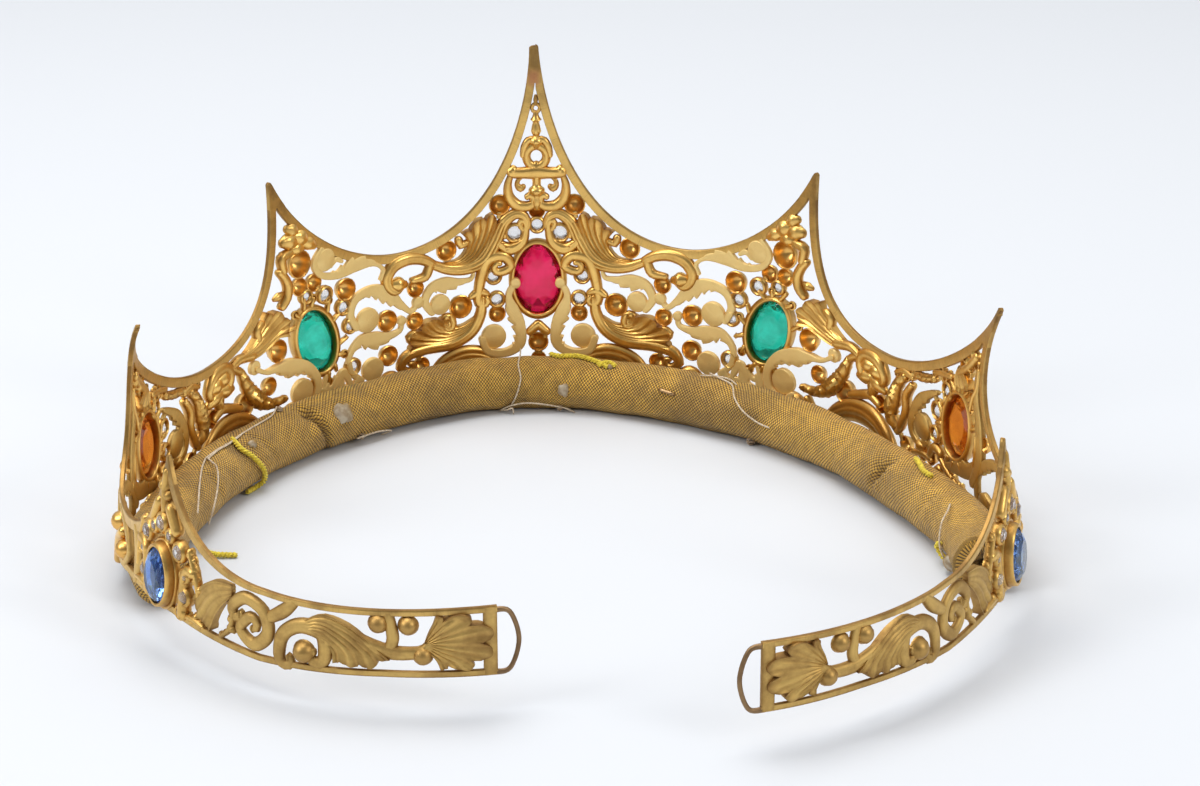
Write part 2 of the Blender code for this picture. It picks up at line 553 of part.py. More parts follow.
def groups(triangles, kept, wanted, table):
    """Connected groups of the triangles whose kept flag is `wanted`."""
    seen, found = set(), []
    neighbours = defaultdict(list)
    for pair in table.values():
        if len(pair) == 2:
            neighbours[pair[0]].append(pair[1])
            neighbours[pair[1]].append(pair[0])
    for start in range(len(triangles)):
        if start in seen or kept[start] != wanted:
            continue
        stack, group = [start], []
        seen.add(start)
        while stack:
            current = stack.pop()
            group.append(current)
            for other in neighbours[current]:
                if other not in seen and kept[other] == wanted:
                    seen.add(other)
                    stack.append(other)
        found.append(group)
    return found


def triangle_area(verts, triangle):
    return abs(area([tuple(verts[i]) for i in triangle]))


def mend_chart(verts, triangles, kept):
    """Fill gaps too small to cut, drop loose bits, and close corners where metal meets at a point."""
    triangles = [list(t) for t in triangles]
    table = edge_table(triangles)
    for group in groups(triangles, kept, False, table):
        if sum(triangle_area(verts, triangles[i]) for i in group) < SMALLEST_GAP:
            for i in group:
                kept[i] = True
    around = defaultdict(list)
    for index, triangle in enumerate(triangles):
        for corner in triangle:
            around[corner].append(index)
    mended = True
    while mended:
        mended = False
        for corner, ring in around.items():
            if len(corner_sectors(corner, ring, triangles, kept, True)) > 1:
                sectors = corner_sectors(corner, ring, triangles, kept, False)
                sectors.sort(key=lambda group: sum(triangle_area(verts, triangles[i]) for i in group))
                for i in sectors[0]:
                    kept[i] = True
                mended = True
    metal = groups(triangles, kept, True, table)
    metal.sort(key=len)
    links = []
    for group in metal[:-1]:
        if sum(triangle_area(verts, triangles[i]) for i in group) >= SMALLEST_PIECE:
            links.append(shortest_link(verts, triangles, group, metal))
        for i in group:
            kept[i] = False
    return [t for t, keep in zip(triangles, kept) if keep], links


def shortest_link(verts, triangles, group, metal):
    """A short bar from a loose piece of the ornament to the nearest other metal."""
    own = {v for i in group for v in triangles[i]}
    others = {v for other in metal if other is not group for i in other for v in triangles[i]} - own
    _, a, b = min(((verts[a] - verts[b]).length_squared, a, b) for a in own for b in others)
    start, end = verts[a], verts[b]
    along = (end - start).normalized() * 0.5
    start, end = start - along, end + along
    return (start[0], start[1], LINK_WIDTH), (end[0], end[1], LINK_WIDTH)


def edge_loops(triangles):
    """The border of a set of triangles as closed loops of corners, metal on their left."""
    directed = {(a, b) for t in triangles for a, b in zip(t, t[1:] + t[:1])}
    following = {a: b for a, b in directed if (b, a) not in directed}
    loops = []
    while following:
        first, current = following.popitem()
        loop = [first]
        while current != first:
            loop.append(current)
            current = following.pop(current)
        loops.append(loop)
    return loops


def straighten(points, slack):
    """Drop the corners of a loop that lie within `slack` of the line between their neighbours."""
    points = list(points)
    index = 0
    unchanged = 0
    while unchanged < len(points) and len(points) > 6:
        a, b, c = (points[(index + k) % len(points)] for k in (-1, 0, 1))
        chord = c - a
        away = abs(chord.cross(b - a)) / max(chord.length, 1e-6)
        if chord.length < LONGEST_EDGE and away < slack:
            points.pop(index % len(points))
            unchanged = 0
        else:
            index += 1
            unchanged += 1
        index %= len(points)
    return points


def plain_chart(elements, verts, triangles):
    """The same cut-out with only the corners that its edge and its relief need."""
    points, faces, roles = [], [], []
    for loop in edge_loops(triangles):
        outline = straighten([verts[i] for i in loop], EDGE_SLACK)
        solid = area([tuple(p) for p in outline]) > 0
        faces.append(list(range(len(points), len(points) + len(outline))))
        points += outline if solid else outline[::-1]
        roles.append("metal" if solid else "hole")
    edge = list(points)
    for element in elements:
        for place in element.inner:
            place = Vector(place)
            if min((place - other).length for other in points[:len(edge)]) > RELIEF_GAP / 2:
                if all((place - other).length > RELIEF_GAP for other in points[len(edge):]):
                    points.append(place)
    verts, _, triangles, _, _, sources = geometry.delaunay_2d_cdt(points, [], faces, 0, 0.02, True)
    kept = []
    for source in sources:
        held = {roles[i] for i in source}
        kept.append("metal" in held and "hole" not in held)
    triangles, _ = mend_chart(verts, triangles, kept)
    return verts, triangles


def corner_sectors(corner, ring, triangles, kept, wanted):
    """Groups of the triangles round a corner that share an edge at it."""
    members = [i for i in ring if kept[i] == wanted]
    sectors = []
    while members:
        group = [members.pop()]
        grown = True
        while grown:
            grown = False
            ends = {v for i in group for v in triangles[i]} - {corner}
            for i in list(members):
                if ends & set(triangles[i]):
                    group.append(i)
                    members.remove(i)
                    grown = True
        sectors.append(group)
    return sectors


def relief_at(elements, s, z):
    """How far the front and the back of the sheet stand out at one chart place."""
    front, back = 0.0, 0.0
    for element in elements:
        raised = element.height(s, z)
        if raised > front:
            front = raised
            back = raised * RELIEF[element.finish][1]
    return front, back


def mesh_object(name, points, faces, finish):
    mesh = bpy.data.meshes.new(name)
    mesh.from_pydata([tuple(p) for p in points], [], faces)
    mesh.update()
    crown_object = bpy.data.objects.new(name, mesh)
    bpy.context.collection.objects.link(crown_object)
    shape = bmesh.new()
    shape.from_mesh(mesh)
    bmesh.ops.recalc_face_normals(shape, faces=shape.faces)
    shape.to_mesh(mesh)
    shape.free()
    mesh.shade_smooth()
    mesh.set_sharp_from_angle(angle=math.radians(35))
    mesh.materials.append(finish_material(name, finish))
    return crown_object


def finish_material(name, finish):
    colour, metallic, roughness = FINISHES[finish]
    material = bpy.data.materials.new(name)
    material.use_nodes = True
    shader = material.node_tree.nodes["Principled BSDF"]
    shader.inputs["Base Color"].default_value = (*colour, 1.0)
    shader.inputs["Metallic"].default_value = metallic
    shader.inputs["Roughness"].default_value = roughness
    material.diffuse_color = (*colour, 1.0)
    return material


def build_band():
    elements = chart_elements()
    for _ in range(LINK_ROUNDS):
        verts, triangles, kept = cut_chart(elements)
        triangles, links = mend_chart(verts, triangles, kept)
        elements += [stroke("flat", link) for link in links]
        if not links:
            break
    verts, triangles = plain_chart(elements, verts, triangles)
    print("gaps", len(edge_loops(triangles)) - 1, "links left over", len(links))
    used = sorted({i for t in triangles for i in t})
    place = {v: i for i, v in enumerate(used)}
    count = len(used)
    heights = [relief_at(elements, *verts[v]) for v in used]
    points = [on_wall(*verts[v], SHEET / 2 + h[0]) for v, h in zip(used, heights)]
    points += [on_wall(*verts[v], -SHEET / 2 + h[1]) for v, h in zip(used, heights)]
    faces = []
    for a, b, c in triangles:
        faces.append((place[a], place[b], place[c]))
        faces.append((place[c] + count, place[b] + count, place[a] + count))
    directed = {(a, b) for t in triangles for a, b in zip(t, t[1:] + t[:1])}
    for a, b in directed:
        if (b, a) not in directed:
            faces.append((place[b], place[a], place[a] + count, place[b] + count))
    return mesh_object("openwork_band", points, faces, "gilt_brass")


def build_stone(name, finish, s, z, half_s, half_z, lean, sides, cut):
    """Cut oval stone, lofted through its rings from the table outside to the flat of its back."""
    rings = []
    for scale, out in cut:
        rings.append([on_wall(ps, pz, out)
                      for ps, pz in oval_points(s, z, half_s * scale, half_z * scale, lean, sides)])
    points = [p for ring in rings for p in ring]
    last = len(cut) - 1
    faces = [list(range(sides))[::-1], [last * sides + i for i in range(sides)]]
    for level in range(last):
        for i in range(sides):
            j = (i + 1) % sides
            faces.append([level * sides + i, level * sides + j, (level + 1) * sides + j, (level + 1) * sides + i])
    return mesh_object(name, points, faces, finish)


def build_stones():
    for name, finish, s, z, half_s, half_z, lean in STONES:
        sides = ((-1, "_left"), (1, "_right")) if s else ((1, ""),)
        for flip, ending in sides:
            build_stone(name + ending, finish, flip * s, z, half_s - STONE_GAP, half_z - STONE_GAP,
                        flip * lean, 16, MAIN_CUT)


def build_rhinestones():
    for number, (s, z, radius) in enumerate(RHINESTONES):
        sides = ((-1, "_left"), (1, "_right")) if s else ((1, ""),)
        for flip, ending in sides:
            build_stone(f"rhinestone_{number + 1:02d}{ending}", "clear", flip * s, z,
                        radius - STONE_GAP, radius - STONE_GAP, 0.0, CUP_SIDES, SMALL_CUT)


def build_roll():
    """Stuffed cloth roll: round sections along the inside of the wall, with rounded ends."""
    start, end = -ROLL_REACH[-1], ROLL_REACH[1]
    count = round((end - start) / ROLL_STEP)
    sections = [(start - 3.2, 0.45), (start - 1.6, 0.82)]
    sections += [(start + (end - start) * i / count, 1.0) for i in range(count + 1)]
    sections += [(end + 1.6, 0.82), (end + 3.2, 0.45)]
    points = []
    for s, scale in sections:
        inset = blend(ROLL_INSET[-1 if s < 0 else 1], abs(s))
        radius = ROLL_RADIUS * scale
        for i in range(ROLL_SIDES):
            a = 2 * math.pi * (i + 0.5) / ROLL_SIDES - math.pi / 2
            flat = math.cos(math.pi / ROLL_SIDES)
            lean_back = math.tan(math.radians(WALL_LEAN)) * (ROLL_RADIUS * flat + radius * math.sin(a))
            points.append(on_wall(s, ROLL_RADIUS * flat + radius * math.sin(a),
                                  -inset + radius * math.cos(a) + lean_back))
    faces = [list(range(ROLL_SIDES))[::-1]]
    for level in range(len(sections) - 1):
        for i in range(ROLL_SIDES):
            j = (i + 1) % ROLL_SIDES
            faces.append([level * ROLL_SIDES + i, level * ROLL_SIDES + j,
                          (level + 1) * ROLL_SIDES + j, (level + 1) * ROLL_SIDES + i])
    faces.append([(len(sections) - 1) * ROLL_SIDES + i for i in range(ROLL_SIDES)])
    return mesh_object("padded_roll", points, faces, "galloon_cloth")


def main():
    for old in list(bpy.data.objects):
        bpy.data.objects.remove(old)
    build_band()
    build_stones()
    build_rhinestones()
    build_roll()
    low = Vector((1e9, 1e9, 1e9))
    high = -low
    for item in bpy.data.objects:
        for vertex in item.data.vertices:
            low = Vector(map(min, low, vertex.co))
            high = Vector(map(max, high, vertex.co))
    print("box mm", [round(v * 1000, 1) for v in (*low, *high)])
    print("triangles", sum(len(p.vertices) - 2 for item in bpy.data.objects for p in item.data.polygons))
    print("band triangles", sum(len(p.vertices) - 2 for p in bpy.data.objects["openwork_band"].data.polygons))


main()
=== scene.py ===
"""Statue crown: the detailed metalwork, stones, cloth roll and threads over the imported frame.

The band is charted flat, in millimetres: `s` runs along the wall from the centre of the front, left
negative, `z` runs up from the surface that the crown rests on, and `out` is the distance outside the
middle of the wall. Most of the camera's view is of the inside of the front.
"""
import math

import bmesh
import bpy
from mathutils import Matrix, Vector, noise


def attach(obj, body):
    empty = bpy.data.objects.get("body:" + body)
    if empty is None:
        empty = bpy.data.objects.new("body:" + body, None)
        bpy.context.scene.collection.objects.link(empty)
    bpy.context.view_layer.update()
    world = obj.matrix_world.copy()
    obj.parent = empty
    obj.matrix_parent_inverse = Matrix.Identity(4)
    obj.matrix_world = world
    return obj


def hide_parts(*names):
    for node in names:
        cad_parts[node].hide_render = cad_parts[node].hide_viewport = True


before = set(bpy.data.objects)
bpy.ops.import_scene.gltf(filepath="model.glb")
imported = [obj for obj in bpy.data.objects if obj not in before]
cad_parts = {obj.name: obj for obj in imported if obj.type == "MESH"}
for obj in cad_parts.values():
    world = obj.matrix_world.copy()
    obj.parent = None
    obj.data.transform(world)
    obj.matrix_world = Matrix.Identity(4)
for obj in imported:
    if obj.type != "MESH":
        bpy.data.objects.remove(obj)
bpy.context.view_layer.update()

MM = 0.001

# Where the centre of the front stands, so that the crown's box is centred on the origin.
FRONT_X = -7.8
FRONT_Y = 88.4

# Plan of each half: distance along the wall (mm), degrees that the wall turns in each 10 mm there.
LEFT_PLAN = [
    (0, 14.3), (20, 8.6), (40, 5.3), (60, 4.9), (80, 6.7), (100, 4.4),
    (120, 2.9), (140, 13.3), (160, 6.6), (190, 7.7), (220, 11.2), (250, 8.6),
]
RIGHT_PLAN = [
    (0, 12.2), (20, 6.5), (40, 4.8), (60, 6.0), (80, 6.7), (100, 3.9),
    (120, 2.4), (140, 6.8), (160, 11.1), (190, 4.9), (220, 6.7), (250, 10.3),
]
FRONT_HEADING = 0.8
WALL_LEAN = 4.4
LEAN_ENDS_AT = 210.0
LEAN_FADES_FROM = 170.0
# The left amber peak is bent inwards a little more: from which s and z, and by how much at its tip.
BENT_PEAK = {"side": -1, "from_s": 118.0, "to_s": 160.0, "from_z": 28.0, "to_z": 51.7, "bend": 2.3}
WALL_LENGTH = 256

RIM_WIDTH = 2.1
RAIL_WIDTH = 1.5
TAIL_END = 247.8
TAIL_BOTTOM = 6.9
TAIL_TOP = 19.9

# Upper edge of the rim, a row for each flank: start, two handles and end of its curve, as (s, z).
FLANKS = [
    ("centre peak down", (0.8, 81.0), (1.7, 68.5), (9.0, 37.0), (34.5, 37.0)),
    ("green peak up", (34.5, 37.0), (46.0, 37.0), (61.5, 46.0), (70.8, 60.1)),
    ("green peak down", (71.9, 59.9), (69.3, 41.0), (72.0, 25.6), (93.0, 25.6)),
    ("amber peak up", (93.0, 25.6), (107.0, 25.6), (128.0, 37.0), (146.0, 51.7)),
    ("amber peak down", (146.9, 51.4), (132.0, 40.0), (126.5, 17.4), (155.0, 18.4)),
    ("blue peak up", (155.0, 18.4), (165.0, 18.4), (174.0, 23.0), (178.0, 37.0)),
    ("blue peak down", (178.8, 36.8), (182.2, 28.0), (192.0, 20.2), (206.0, 20.0)),
    ("tail", (206.0, 20.0), (220.0, 18.9), (235.0, 19.7), (TAIL_END, TAIL_TOP)),
]

# Lower edge of the band: s, z.
LOWER_EDGE = [(0, 2.6), (130, 2.6), (158, 7.2), (180, 7.6), (204, 6.0), (228, 6.9), (TAIL_END, TAIL_BOTTOM)]

# Main stones: name, colour, s, z, half width, half height of the window, degrees that the top leans out.
STONES = [
    ("ruby_stone", "ruby", 0.0, 27.3, 5.5, 8.3, 0.0),
    ("green_stone", "green", 56.4, 21.3, 5.0, 7.9, 24.0),
    ("amber_stone", "amber", 121.0, 18.9, 5.0, 7.9, 27.0),
    ("blue_stone", "blue", 177.0, 14.4, 3.9, 5.6, 6.0),
]

# Small clear stones: s, z, radius of the cup's hole. Those at s = 0 are not mirrored.
RHINESTONES = [
    (0.0, 40.2, 1.4),
    (5.4, 38.4, 1.7), (10.4, 28.4, 1.4), (9.6, 22.8, 1.4),
    (54.0, 31.4, 1.5), (48.8, 27.4, 1.4), (46.8, 22.6, 1.3), (45.9, 12.7, 1.5), (59.4, 32.2, 1.2),
    (117.2, 25.2, 1.5), (112.4, 19.3, 1.6), (111.2, 13.9, 1.3),
    (177.0, 24.2, 1.5), (170.6, 20.6, 1.5), (183.4, 20.6, 1.5), (169.3, 12.6, 1.4), (184.9, 12.6, 1.4),
]
# More of them, smaller, which the photo shows close round the blue stone.
SMALL_STONES = [
    (168.8, 16.6, 1.0), (185.2, 16.6, 1.0), (173.8, 22.6, 1.0), (180.2, 22.6, 1.0), (183.6, 9.2, 1.0),
]

# Hollow stamped balls: s, z, radius.
BALLS = [
    (9.0, 45.2, 2.2), (22.0, 35.8, 2.2), (29.7, 28.0, 1.9), (18.4, 22.0, 2.5), (9.6, 19.4, 1.8),
    (29.8, 20.3, 1.9), (37.0, 21.7, 2.3), (36.5, 13.3, 2.2), (28.0, 9.3, 1.9), (20.0, 5.6, 1.8),
    (61.8, 40.2, 2.9), (57.3, 35.0, 1.9), (61.6, 35.0, 1.9), (48.3, 31.4, 2.4), (67.8, 22.0, 2.4),
    (70.2, 14.6, 1.9), (78.0, 12.8, 2.5), (90.4, 13.6, 1.9), (83.2, 22.3, 1.7), (99.0, 7.2, 1.8),
    (109.0, 8.2, 1.9), (134.2, 19.6, 1.5), (152.4, 9.8, 1.9), (145.0, 12.6, 2.0), (227.4, 16.8, 1.7),
    (232.6, 16.6, 1.7), (235.0, 11.0, 1.7), (213.6, 9.8, 2.0),
]
CENTRE_BALLS = [(0.0, 43.6, 1.7), (0.0, 12.2, 2.1), (0.0, 8.2, 1.6)]

# Flat discs that end the matte scrolls: s, z, radius.
DISCS = [
    (10.4, 13.9, 2.9), (5.3, 26.6, 1.2), (23.4, 23.2, 2.4), (42.2, 22.9, 2.9), (29.0, 24.6, 1.4),
    (40.6, 10.9, 2.8), (33.2, 21.0, 1.1), (54.3, 39.5, 2.6), (60.3, 10.6, 3.0), (75.2, 20.3, 1.6),
    (106.4, 13.8, 3.0), (133.0, 6.6, 2.4),
]

# Strokes of the ornament, in order along the wall: style, then points (s, z, width) on its middle line.
STROKES = [
    # Centre panel: the crossbar's curls, the two acanthus scrolls and the spiral between them.
    ("curl", [(6.0, 52.8, 1.1), (6.5, 51.4, 1.2), (7.0, 49.4, 1.6), (6.6, 46.8, 2.1),
              (4.6, 44.8, 2.2), (2.0, 44.6, 1.9)]),
    ("curl", [(2.4, 44.4, 1.4), (0.9, 45.2, 1.6), (1.2, 46.6, 1.2)]),
    ("curl", [(0.6, 60.2, 1.1), (2.0, 59.8, 1.4), (3.0, 58.2, 1.4), (3.4, 56.4, 1.0)]),
    ("turned", [(3.2, 51.6, 0.8), (4.4, 50.8, 1.1), (4.7, 49.6, 1.4), (3.9, 48.8, 1.9),
                (3.2, 49.2, 1.4)]),
    ("turned", [(4.8, 52.8, 1.9), (5.7, 52.9, 2.9), (6.6, 52.8, 2.0)]),
    ("flute", [(2.2, 40.6, 1.4), (2.9, 42.2, 1.7), (5.2, 42.9, 2.0), (8.0, 41.0, 2.5),
               (10.0, 36.8, 2.8), (12.8, 32.6, 2.9), (17.0, 31.0, 2.5), (21.4, 31.3, 2.1),
               (25.4, 32.9, 1.7)]),
    ("curl", [(17.0, 37.0, 1.2), (18.4, 36.6, 1.6), (19.0, 37.9, 1.6)]),
    ("flute", [(2.6, 40.2, 1.3), (3.4, 36.4, 1.9), (6.2, 34.6, 2.3), (9.2, 36.2, 1.8)]),
    ("flute", [(25.4, 33.0, 1.8), (28.2, 34.6, 2.1), (31.8, 35.2, 2.4), (35.4, 34.2, 2.6),
               (37.2, 31.6, 2.4), (36.4, 29.2, 2.1)]),
    ("turned", [(32.4, 29.4, 2.0), (34.0, 29.6, 3.8), (35.6, 29.8, 2.6)]),
    ("curl", [(26.0, 33.0, 1.8), (27.2, 30.4, 1.9), (30.4, 30.0, 1.3)]),
    ("curl", [(8.4, 29.4, 1.8), (6.3, 30.6, 1.9), (8.0, 33.0, 2.2), (11.8, 32.5, 2.4),
              (13.4, 28.6, 2.2), (14.2, 23.2, 1.8)]),
    ("curl", [(12.0, 24.4, 1.2), (13.8, 25.0, 2.0), (15.8, 24.0, 1.2)]),
    ("flute", [(13.3, 23.2, 1.7), (13.6, 19.4, 2.2), (16.0, 15.4, 2.4), (20.6, 13.2, 2.2),
               (27.0, 13.0, 2.2), (31.6, 12.2, 2.2), (33.2, 9.8, 1.9), (31.8, 8.6, 1.6)]),
    ("curl", [(22.6, 18.7, 1.2), (22.2, 19.9, 1.5), (20.8, 19.7, 1.6), (20.2, 18.2, 1.5)]),
    ("curl", [(30.6, 15.4, 1.2), (31.2, 16.5, 1.5), (29.8, 17.3, 1.6)]),
    ("matte", [(5.6, 26.4, 1.6), (6.9, 23.6, 1.9), (5.8, 20.0, 3.6), (4.2, 16.4, 3.0),
               (4.3, 12.0, 2.9), (7.6, 9.9, 2.4), (11.8, 10.6, 2.2), (13.2, 13.6, 2.0)]),
    ("matte", [(15.2, 30.0, 0.9), (15.9, 28.3, 1.2), (18.6, 28.0, 1.8), (22.2, 28.0, 3.7),
               (25.6, 27.4, 2.7), (27.2, 24.4, 2.3), (25.4, 21.6, 2.2)]),
    ("flute", [(8.4, 5.2, 2.4), (11.8, 8.8, 3.4), (17.0, 10.0, 3.9), (22.2, 8.4, 3.5),
               (25.6, 4.0, 2.6)]),
    ("curl", [(26.6, 7.8, 1.4), (27.4, 5.4, 1.8), (26.6, 3.6, 1.6)]),
    ("curl", [(30.2, 7.6, 1.4), (29.0, 5.6, 1.8), (30.0, 3.6, 1.6)]),
    ("curl", [(2.0, 14.6, 1.6), (0.0, 16.4, 1.8)]),
    ("curl", [(2.0, 4.6, 2.0), (5.4, 6.2, 2.0), (9.0, 4.4, 2.0)]),
    ("curl", [(34.0, 3.4, 1.9), (33.6, 6.6, 2.0), (36.0, 8.2, 2.1), (38.2, 6.4, 2.0),
              (37.2, 4.0, 1.7)]),
    # Between the panels and round the green stone.
    ("matte", [(29.0, 24.8, 1.6), (30.8, 22.8, 1.5), (33.6, 25.0, 2.2), (36.8, 28.0, 3.9),
               (41.0, 29.7, 3.0), (45.4, 28.6, 2.5), (46.9, 25.2, 2.3), (45.2, 21.8, 2.2)]),
    ("matte", [(33.2, 20.8, 1.6), (33.6, 18.8, 1.5), (36.4, 18.0, 2.4), (40.2, 18.0, 4.4),
               (44.0, 18.6, 2.7), (46.9, 15.6, 1.9), (46.4, 11.6, 1.7), (43.6, 9.0, 2.0)]),
    ("matte", [(38.8, 31.8, 1.0), (38.2, 34.0, 1.1), (40.8, 35.8, 1.4), (45.6, 36.4, 3.6),
               (50.4, 35.2, 2.2), (55.2, 36.2, 1.9), (57.2, 39.2, 2.1), (55.4, 42.0, 1.8)]),
    ("matte", [(49.6, 38.2, 1.2), (51.2, 38.9, 1.6), (52.6, 37.6, 1.0)]),
    ("matte", [(41.0, 4.0, 2.4), (45.2, 7.6, 2.7), (50.8, 7.2, 2.7), (55.4, 4.0, 2.4)]),
    ("matte", [(44.6, 10.0, 1.2), (45.6, 6.6, 2.8), (44.2, 3.4, 2.2)]),
    ("matte", [(49.2, 11.6, 1.2), (49.6, 8.6, 3.6), (49.4, 4.2, 2.6)]),
    ("matte", [(53.0, 10.4, 1.2), (54.2, 7.0, 3.2), (54.8, 3.4, 2.4)]),
    ("curl", [(66.4, 3.2, 1.6), (67.8, 5.4, 1.8), (66.8, 8.0, 1.5)]),
    ("curl", [(69.4, 3.6, 1.8), (71.6, 5.4, 1.8), (73.6, 5.0, 1.6)]),
    ("turned", [(57.4, 43.4, 2.0), (59.0, 44.3, 3.2), (60.6, 45.0, 2.4)]),
    ("turned", [(60.0, 45.0, 2.4), (61.7, 46.2, 3.8), (63.2, 46.6, 2.6)]),
    ("turned", [(62.8, 47.4, 2.0), (64.2, 48.4, 3.2), (65.4, 48.8, 2.0)]),
    ("turned", [(63.0, 45.0, 2.4), (64.9, 45.9, 3.8), (66.6, 46.0, 2.4)]),
    ("turned", [(60.8, 43.6, 1.8), (62.5, 43.9, 3.2), (64.0, 43.8, 2.2)]),
    ("curl", [(64.6, 43.4, 1.6), (67.0, 42.6, 1.9), (66.4, 39.6, 1.6)]),
    ("curl", [(67.6, 39.6, 1.5), (66.0, 38.0, 1.8), (64.9, 35.8, 2.0), (65.2, 33.4, 2.0),
              (66.6, 31.8, 1.8)]),
    ("turned", [(66.6, 34.6, 1.2), (67.8, 34.2, 2.0), (69.0, 34.0, 1.2)]),
    ("curl", [(76.0, 23.2, 1.9), (80.4, 23.6, 1.8), (83.2, 22.6, 1.6)]),
    ("curl", [(73.2, 29.6, 1.5), (74.6, 28.6, 1.8), (74.2, 26.6, 1.8)]),
    ("matte", [(75.2, 20.0, 1.6), (71.8, 18.3, 1.2), (68.4, 18.2, 2.2), (64.4, 17.6, 4.4),
               (59.6, 16.4, 3.0), (56.4, 12.6, 2.5), (56.8, 8.4, 2.3), (60.2, 6.6, 2.0),
               (63.0, 8.2, 1.6)]),
    ("rib", [(65.4, 10.4, 1.9), (69.4, 10.3, 2.4), (73.6, 12.4, 3.9), (77.0, 16.0, 3.6),
             (79.8, 20.6, 1.9)]),
    ("matte", [(46.6, 8.8, 1.5), (48.6, 12.0, 2.6), (50.6, 9.4, 1.6)]),
    ("matte", [(53.4, 12.4, 1.3), (54.3, 8.6, 1.7), (53.8, 4.4, 1.5)]),
    ("matte", [(50.6, 11.4, 1.2), (52.0, 9.4, 1.6), (54.6, 9.6, 1.2)]),
    ("curl", [(59.8, 3.6, 1.8), (60.6, 6.2, 1.9), (63.4, 7.4, 2.0), (65.2, 5.4, 1.9),
              (64.2, 3.0, 1.6)]),
    ("curl", [(80.4, 21.0, 1.6), (84.8, 23.4, 1.6)]),
    # Amber panel.
    ("curl", [(80.0, 12.6, 1.5), (83.2, 13.6, 1.7), (86.6, 14.4, 1.8), (89.6, 13.2, 1.5)]),
    ("curl", [(84.0, 19.4, 2.0), (83.8, 21.6, 2.2), (86.0, 23.4, 2.4), (89.6, 23.0, 2.4),
              (91.6, 20.6, 2.0)]),
    ("turned", [(84.6, 20.8, 2.4), (86.6, 21.2, 4.0), (88.4, 21.2, 3.0)]),
    ("turned", [(87.6, 20.8, 3.0), (89.6, 20.4, 4.0), (91.2, 19.8, 2.4)]),
    ("turned", [(83.0, 18.0, 2.0), (85.2, 18.2, 3.4), (87.4, 18.6, 2.8)]),
    ("turned", [(87.6, 18.4, 2.8), (89.8, 17.6, 3.4), (91.6, 16.8, 2.0)]),
    ("shell", [(88.0, 18.2, 2.4), (87.6, 16.2, 3.2), (87.0, 14.6, 2.0)]),
    ("flute", [(72.4, 4.6, 2.2), (76.0, 7.4, 3.4), (81.0, 9.4, 4.4), (86.6, 9.2, 4.6),
               (91.2, 6.6, 3.8), (93.6, 3.6, 2.6)]),
    ("rib", [(99.8, 22.8, 2.2), (96.8, 20.0, 2.8), (95.0, 16.2, 4.2), (93.6, 12.4, 3.9),
             (96.2, 9.4, 2.0)]),
    ("curl", [(102.2, 21.4, 1.5), (99.9, 18.4, 1.8), (99.4, 14.6, 1.8), (97.0, 10.4, 1.6)]),
    ("lumps", [(96.6, 22.8, 1.8), (99.6, 23.8, 2.7), (103.0, 23.4, 2.2)]),
    ("rib", [(103.4, 24.4, 1.7), (107.4, 24.9, 2.0), (112.2, 26.2, 1.7)]),
    ("matte", [(112.8, 23.4, 1.3), (109.2, 21.8, 2.3), (105.4, 19.4, 3.1), (102.4, 15.6, 2.7),
               (101.6, 11.6, 2.4), (104.2, 9.4, 2.0), (107.6, 10.6, 1.7)]),
    ("matte", [(116.0, 8.8, 1.8), (120.4, 9.6, 3.4), (126.0, 11.0, 4.2), (130.4, 14.2, 2.6)]),
    ("lumps", [(112.0, 27.6, 1.8), (115.0, 28.4, 2.4), (119.4, 29.0, 2.2)]),
    ("lumps", [(123.0, 31.2, 2.6), (127.4, 33.8, 3.6), (131.6, 37.2, 3.4)]),
    ("matte", [(127.4, 9.0, 2.6), (131.0, 15.0, 3.6), (131.8, 22.6, 3.4), (130.8, 28.8, 2.8),
               (132.4, 34.0, 2.4)]),
    ("matte", [(142.4, 17.6, 2.2), (135.6, 16.2, 2.3), (129.8, 11.6, 2.2), (129.6, 5.6, 2.2)]),
    ("matte", [(133.4, 8.4, 1.8), (138.8, 7.2, 2.0), (141.8, 11.4, 2.0), (141.6, 17.0, 2.0)]),
    ("lumps", [(113.2, 9.4, 2.2), (117.0, 6.6, 3.0), (122.6, 5.0, 2.6)]),
    ("lumps", [(127.6, 24.6, 1.6), (129.0, 27.6, 2.4), (131.6, 31.0, 2.4), (132.6, 34.6, 1.8)]),
    ("lumps", [(128.4, 13.0, 1.4), (129.6, 16.4, 2.0), (130.0, 19.6, 1.6)]),
    ("lumps", [(101.6, 6.4, 1.8), (105.4, 7.6, 2.6), (109.6, 7.4, 2.0)]),
    ("turned", [(103.6, 8.2, 1.6), (104.8, 9.0, 2.8), (106.2, 9.2, 1.8)]),
    ("turned", [(99.4, 4.2, 1.8), (100.8, 4.8, 3.0), (102.4, 5.0, 2.0)]),
    ("curl", [(109.0, 8.6, 1.6), (111.0, 10.8, 1.8), (113.4, 10.2, 1.6)]),
    ("curl", [(109.4, 4.0, 1.8), (112.8, 6.4, 2.2)]),
    # Blue panel.
    ("matte", [(150.0, 17.6, 2.0), (155.4, 15.4, 2.4), (158.0, 11.6, 2.2), (155.0, 8.2, 2.0)]),
    ("curl", [(145.0, 5.0, 1.8), (148.6, 10.6, 2.0), (152.4, 13.4, 1.8)]),
    ("matte", [(162.6, 17.6, 3.0), (164.0, 13.2, 4.4), (162.8, 8.2, 2.8)]),
    ("lumps", [(178.0, 34.0, 2.6), (177.4, 29.6, 3.4), (177.0, 26.0, 2.2)]),
    ("curl", [(172.6, 24.0, 2.0), (175.0, 27.6, 2.0)]),
    ("curl", [(182.0, 24.0, 2.0), (179.6, 27.6, 2.0)]),
